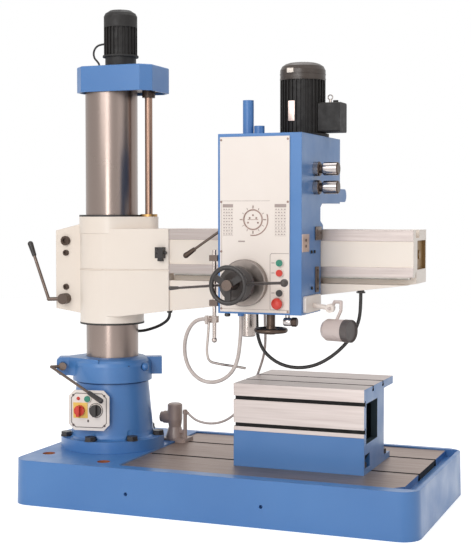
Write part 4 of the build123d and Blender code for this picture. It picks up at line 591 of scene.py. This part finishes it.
def feed_lever(corners, normal):
    """The plain rods of the feed levers, between the hub and the balls."""
    hub, ball, root_y, lean, slope = 39, 188.5, -409, 0.427, math.tan(math.radians(3.7))
    for corner in corners:
        reach = off_axis(corner, FEED_AXIS)
        aside = corner[Z] - FEED_AXIS[1] - (corner[X] - FEED_AXIS[0]) * slope
        ahead = corner[Y] - root_y + reach * lean
        if not (hub < reach < ball and abs(aside) < 6.5 and abs(ahead) < 7):
            return False
    return True


def lamp_mouth_shade(corners, normal):
    """The front of the work lamp, beyond its body, painted dark grey as the shade inside the lamp."""
    axis = Vector((math.cos(LAMP_TURN), math.sin(LAMP_TURN), 0.0))
    mouth_start = 45
    return all((c - LAMP_MIDDLE).dot(axis) > mouth_start for c in corners)


LUG_RIGHT = 591.6
PAINTS = (
    ("base_casting", "shaded_base_top", base_ground),
    ("base_casting", "black_and_shade", base_slot),
    ("base_casting", "rust", rusted),
    ("box_table", "ground", table_ground),
    ("box_table", "window_shade", table_hollow),
    ("box_table", "black_and_shade", table_slot),
    ("head_casting", "bar", inside((-math.inf, LUG_RIGHT), (-math.inf, -278), (770, 965))),
    ("head_casting", "bar", inside((-math.inf, LUG_RIGHT), z=(1040, 1090))),
    ("arm_casting", "guide", guide_face),
    ("arm_casting", "recess", inside((1239, math.inf), (-16, 119), (906, 1015))),
    ("feed_hub", "dial", feed_dial),
    ("feed_hub", "bright", feed_lever),
    ("handwheel", "bar", near_axis(FEED_AXIS, 19.5)),
    ("clamp_ring", "chrome", near_axis(DOME_NUT, 17.5, front=-90)),
    ("lock_lever", "dark", inside((-math.inf, 441))),
    ("work_lamp", "mouth_shade", lamp_mouth_shade),
    # The knob necks, between X 930 and 946, are painted dark as shade and dark reflection in the groove; the
    # ends past X 1000 are the black caps.
    ("upper_speed_knob", "dark", inside((930, 946))),
    ("upper_speed_knob", "dark", inside((1000, math.inf))),
    ("lower_speed_knob", "dark", inside((930, 946))),
    ("lower_speed_knob", "dark", inside((1000, math.inf))),
)

for painted in PAINTS:
    paint(*painted)


# Details of the drilling head

PLATE_SCREWS = ((606, 1156), (862, 1156), (862, 1380), (606, 1380), (606, 976), (606, 768), (862, 762))
DIAL_CENTRE = (729.4, HEAD_FACE, 1092.0)
BUTTON_ROWS = (937, 901, 829)


def arc(piece, centre, inner, outer, start, stop, thick, steps=24):
    """A flat arc on the front plate, between two angles in degrees."""
    x, y, z = centre
    rows = []
    for index in range(steps + 1):
        angle = math.radians(start + (stop - start) * index / steps)
        across = (math.cos(angle), math.sin(angle))
        row = [(x + r * across[0], d, z + r * across[1]) for r in (inner, outer) for d in (y, y - thick)]
        rows.append([piece.mesh.verts.new(piece.place(point)) for point in row])
    for low, high in zip(rows, rows[1:]):
        for a, b in ((0, 1), (1, 3), (3, 2), (2, 0)):
            piece.mesh.faces.new((low[a], low[b], high[b], high[a]))
    for row in (rows[0], rows[-1]):
        piece.mesh.faces.new((row[0], row[1], row[3], row[2]))


def plate_bar(lines, x0, x1, z0, z1):
    """A thin printed bar on the front plate."""
    proud, sunk, soft = 0.4, 0.2, 0.15
    lines.box(x0, x1, HEAD_FACE - proud, HEAD_FACE + sunk, z0, z1, soft)


def plate_frames(lines):
    """The line round the buttons and the thinner one round the chart."""
    left, right, low, top, wide, corner = 794, 866, 767, 972, 2, 8
    plate_bar(lines, left, left + wide, low + wide, top - corner)
    plate_bar(lines, left, right, low, low + wide)
    plate_bar(lines, left + corner - wide, right, top - wide, top)
    arc(lines, (left + corner, HEAD_FACE, top - corner), 5.5, 7.5, 90, 180, 0.4, 8)
    chart_left, chart_top, thin = 607, 1160, 1.2
    plate_bar(lines, chart_left, left - 4, low, low + thin)
    plate_bar(lines, chart_left, chart_left + thin, low, chart_top)
    plate_bar(lines, chart_left, left, chart_top - 1, chart_top - 1 + thin)


def plate_table(lines, left, right):
    """One bare table of rows and marks under its header bar."""
    rows, columns, pitch, low = 9, 4, 11.2, 1034
    plate_bar(lines, left, right, 1136, 1148)
    for row in range(rows):
        z = low + row * pitch
        plate_bar(lines, left, right, z, z + 0.8)
        for column in range(columns):
            x = left + 2 + column * (right - left) / columns
            plate_bar(lines, x, x + 5 + (row + column) % 3, z + 4, z + 7.5)


def plate_lines():
    """The outlines, tables and marks on the head's front plate."""
    lines = Piece("plate_lines", "ink", "head")
    plate_frames(lines)
    plate_table(lines, 612, 652)
    plate_table(lines, 812, 856)
    plate_bar(lines, 672, 698, 1011, 1016)
    for z in BUTTON_ROWS:
        plate_bar(lines, 800, 812, z - 1.5, z + 1.5)
    lines.done()


def on_dial(angle, reach, proud=0.0):
    """A point on the speed chart, by its angle in degrees and its distance from the middle."""
    turn = math.radians(angle)
    x, y, z = DIAL_CENTRE
    return x + reach * math.cos(turn), y - proud, z + reach * math.sin(turn)


def speed_dial():
    """The speed chart's ring and its outer scale."""
    dial = Piece("speed_dial", "screw", "head")
    arc(dial, DIAL_CENTRE, 33, 37.5, 0, 360, 1.6, 72)
    arc(dial, DIAL_CENTRE, 55, 59, -100, 20, 0.8, 36)
    marks, quarter = 12, 3
    for index in range(marks):
        angle = index * 360 / marks
        reach, radius = (48, 0.9) if index % quarter else (51, 1.8)
        dial.bar(on_dial(angle, 40, 0.4), on_dial(angle, reach, 0.4), radius, 8)
    for angle, reach in ((90, 16), (210, 22), (330, 22), (25, 14), (155, 14)):
        dial.disc(on_dial(angle, reach), 3.5, 1.2, "-y", 16)
    x, y, z = DIAL_CENTRE
    dial.box(x - 20, x + 20, y - 0.5, y, z - 1, z + 1, 0.2)
    dial.done()


def plate_screws():
    """The screws of the front plate, with their slots."""
    radius, half_slot = 4.2, 3.4
    screws = Piece("plate_screws", "screw", "head")
    for x, z in PLATE_SCREWS:
        screws.disc((x, HEAD_FACE, z), radius, 1.6, "-y", 20)
        screws.box(x - half_slot, x + half_slot, HEAD_FACE - 1.9, HEAD_FACE - 1.4, z - 0.4, z + 0.4, 0.1)
    screws.done()


def side_trims():
    """The bare plate, the guide wipers and the small buttons on the head's right side."""
    side = HEAD_RIGHT
    plate = Piece("side_plate", "plate", "head")
    plate.box(side, side + 2, -301, -222, 976, 1040, 0.5)
    plate.done()
    marks = Piece("side_plate_screws", "dark", "head")
    for z in (1018, 997):
        marks.disc((side + 2, -261, z), 6, 1.6, "x", 20)
    marks.done()
    wipers = Piece("guide_wipers", "bar", "head")
    wipers.box(side, side + 6, -150, -84, 1016, 1066, 1.0)
    wipers.box(side, side + 5, -149, -112, 824, 918, 1.0)
    for y, z in ((-138, 1030), (-138, 1054), (-96, 1042), (-131, 836), (-131, 906)):
        wipers.disc((side + 5, y, z), 4, 3, "x", 16)
    wipers.done()
    stops = Piece("side_buttons", "black_and_shade", "head")
    for y, z in ((-196, 974), (-160, 974), (-190, 842)):
        stops.disc((side, y, z), 6, 5, "x", 20)
    stops.done()


def under_trims():
    """The chrome knob and the small black knob under the head."""
    knob_y, knob_z = -282, 724
    knob = Piece("clamp_knob", "chrome", "head")
    knob.disc((848, -270, HEAD_FLOOR), 9, 18, "-z", 24)
    knob.lathe(((0, 0), (13, 0), (15, 3), (15, 26), (13, 30), (0, 30)), (838, knob_y, knob_z), "x", 32)
    knob.done()
    end = Piece("clamp_knob_end", "dark", "head")
    end.lathe(((0, 0), (15.5, 0), (17, 3), (17, 16), (14, 20), (0, 20)), (868, knob_y, knob_z), "x", 32)
    end.done()
    stud = Piece("under_knob", "black", "head")
    stud.lathe(((0, 0), (9, 0), (11, 4), (11, 9), (8, 12), (0, 12)), (624, -296, HEAD_FLOOR), "-z", 24)
    stud.done()


def motor_eyebolt():
    """The lifting eye beside the main motor."""
    x, middle, loop_radius, steps = 924, 1552, 9, 20
    eye = Piece("motor_eyebolt", "bright", "head")
    turns = [2 * math.pi * index / steps for index in range(steps + 1)]
    loop = [(x + loop_radius * math.cos(turn), 0, middle + loop_radius * math.sin(turn)) for turn in turns]
    for start, end in zip(loop, loop[1:]):
        eye.bar(start, end, 2.2, 8)
    eye.disc((x, 0, 1529), 5, 15, "z", 16)
    eye.done()


def motor_plates():
    """The bare plates on the main motor and on its cowl."""
    plates = Piece("motor_plates", "plate", "head")
    plates.box(786, 811, -88.4, -82.0, 1461, 1536, 0.6)
    plates.done()
    label = Piece("cowl_plate", "cream", "head")
    label.box(779, 806, -86.5, -79.0, 1641, 1659, 2.5)
    label.done()


def cowl_bands():
    """The raised bands round the cowl and the bars of its top grille."""
    wall, proud = 86.0, 87.6
    bands = Piece("cowl_bands", "cowl", "head")
    for rise, high in ((2, 6), (21, 5)):
        profile = ((wall, 0), (proud, 1), (proud, high - 1), (wall, high))
        bands.lathe(profile, (MOTOR_X, 0, COWL_LOW + rise), "z", 64)
    bars, inner, outer, bar_z = 28, 22, 50, COWL_TOP - 0.4
    for index in range(bars):
        angle = 2 * math.pi * index / bars
        start = (MOTOR_X + inner * math.cos(angle), inner * math.sin(angle), bar_z)
        stop = (MOTOR_X + outer * math.cos(angle), outer * math.sin(angle), bar_z)
        bands.bar(start, stop, 1.4, 8)
    bands.done()


# Details of the fixed parts


def switch_trims():
    """The yellow plate, the frame line, the pilot lamp and the screws of the switch panel."""
    face = SWITCH_FACE
    yellow = Piece("yellow_plate", "yellow", "base", SWITCH_TURN)
    yellow.box(-98, -38, face - 1.4, face, 308, 369, 0.5)
    yellow.done()
    line = Piece("switch_line", "ink_dark", "base", SWITCH_TURN)
    left, right, low, high, cut = -106, 39, 272, 406, 18
    corners = ((left + cut, low), (right - cut, low), (right, low + cut), (right, high - cut),
               (right - cut, high), (left + cut, high), (left, high - cut), (left, low + cut))
    for (x0, z0), (x1, z1) in zip(corners, corners[1:] + corners[:1]):
        line.bar((x0, face, z0), (x1, face, z1), 1.5, 10)
    for x in (left + 8, right - 8):
        for z in (high - 8, low + 8):
            line.disc((x, face, z), 4.5, 2.5, "-y", 20)
    line.done()
    pilot = Piece("pilot_lamp", "red", "base", SWITCH_TURN)
    dome = ((0, 0), (7, 0), (7, 2), (5, 3), (4.4, 6), (2.5, 8), (0, 8.6))
    pilot.lathe(dome, (-77, face, 385), "-y", 24)
    pilot.done()
    mark = Piece("switch_mark", "ink_dark", "base", SWITCH_TURN)
    mark.box(-40, -33, face - 0.5, face, 292, 302, 0.2)
    mark.ring((-4, face, 340), 29, 26.5, 0.6, "-y", 48)
    mark.done()


for make_detail in (plate_lines, speed_dial, plate_screws, side_trims, under_trims, motor_eyebolt,
                    motor_plates, cowl_bands, switch_trims):
    make_detail()


# Stage

FLOOR_HALF = 9.0
FLOOR_COLOUR = (0.86, 0.86, 0.86, 1.0)
FLOOR_GLOW = 0.6
WHITE = (1.0, 1.0, 1.0, 1.0)
WORLD_LIGHT = 0.5
WORLD_SEEN = 1.0


def stage_plane(name, corners, colour, glow):
    """A plain pale surface that isn't part of the object."""
    data = bpy.data.meshes.new(name)
    data.from_pydata(corners, [], [tuple(range(len(corners)))])
    look = Look(name, colour, 0.0, 0.9)
    ray = look.node("ShaderNodeLightPath")
    seen = look.node("ShaderNodeMath", operation="MAXIMUM")
    look.join(ray.outputs["Is Camera Ray"], seen.inputs[0])
    look.join(ray.outputs["Is Glossy Ray"], seen.inputs[1])
    strength = look.node("ShaderNodeMath", operation="MULTIPLY")
    strength.inputs[1].default_value = glow
    look.join(seen.outputs[0], strength.inputs[0])
    look.shader.inputs["Emission Color"].default_value = WHITE
    look.join(strength.outputs[0], look.shader.inputs["Emission Strength"])
    data.materials.append(look.material)
    plane = bpy.data.objects.new(name, data)
    bpy.context.scene.collection.objects.link(plane)


def area_light(name, place, target, size, power, height=None):
    """A soft light aimed at a point, square unless it is given a height."""
    data = bpy.data.lights.new(name, "AREA")
    data.shape = "RECTANGLE"
    data.size = size
    data.size_y = height or size
    data.energy = power
    light = bpy.data.objects.new(name, data)
    light.location = place
    light.rotation_euler = (Vector(target) - Vector(place)).to_track_quat("-Z", "Y").to_euler()
    bpy.context.scene.collection.objects.link(light)


def make_world():
    """White where it is seen, and a soft plain light where it isn't."""
    world = bpy.data.worlds.new("world")
    bpy.context.scene.world = world
    world.use_nodes = True
    tree = world.node_tree
    background = tree.nodes["Background"]
    background.inputs["Color"].default_value = WHITE
    ray = tree.nodes.new("ShaderNodeLightPath")
    most = ray.outputs["Is Camera Ray"]
    for name in ("Is Glossy Ray", "Is Transmission Ray"):
        step = tree.nodes.new("ShaderNodeMath")
        step.operation = "MAXIMUM"
        tree.links.new(most, step.inputs[0])
        tree.links.new(ray.outputs[name], step.inputs[1])
        most = step.outputs[0]
    strength = tree.nodes.new("ShaderNodeMapRange")
    strength.inputs["To Min"].default_value = WORLD_LIGHT
    strength.inputs["To Max"].default_value = WORLD_SEEN
    tree.links.new(most, strength.inputs["Value"])
    tree.links.new(strength.outputs["Result"], background.inputs["Strength"])


def make_stage():
    """The floor, the lamps and the world."""
    low, high = -FLOOR_HALF, FLOOR_HALF
    corners = [(low, low, 0), (high, low, 0), (high, high, 0), (low, high, 0)]
    stage_plane("floor", corners, FLOOR_COLOUR, FLOOR_GLOW)
    area_light("key_lamp", place=(-0.9, -5.0, 3.2), target=(0.5, 0.0, 0.9), size=2.4, power=80.0)
    area_light("strip_lamp", place=(0.8, -5.0, 1.5), target=(0.0, 0.0, 1.2), size=1.1, power=56.0, height=2.8)
    area_light("side_lamp", place=(5.2, -2.2, 2.6), target=(0.7, 0.0, 0.8), size=2.4, power=15.0)
    area_light("top_lamp", place=(0.6, 0.6, 4.6), target=(0.6, 0.0, 0.8), size=3.0, power=60.0)
    make_world()
    bpy.context.scene.view_settings.view_transform = "Standard"


make_stage()
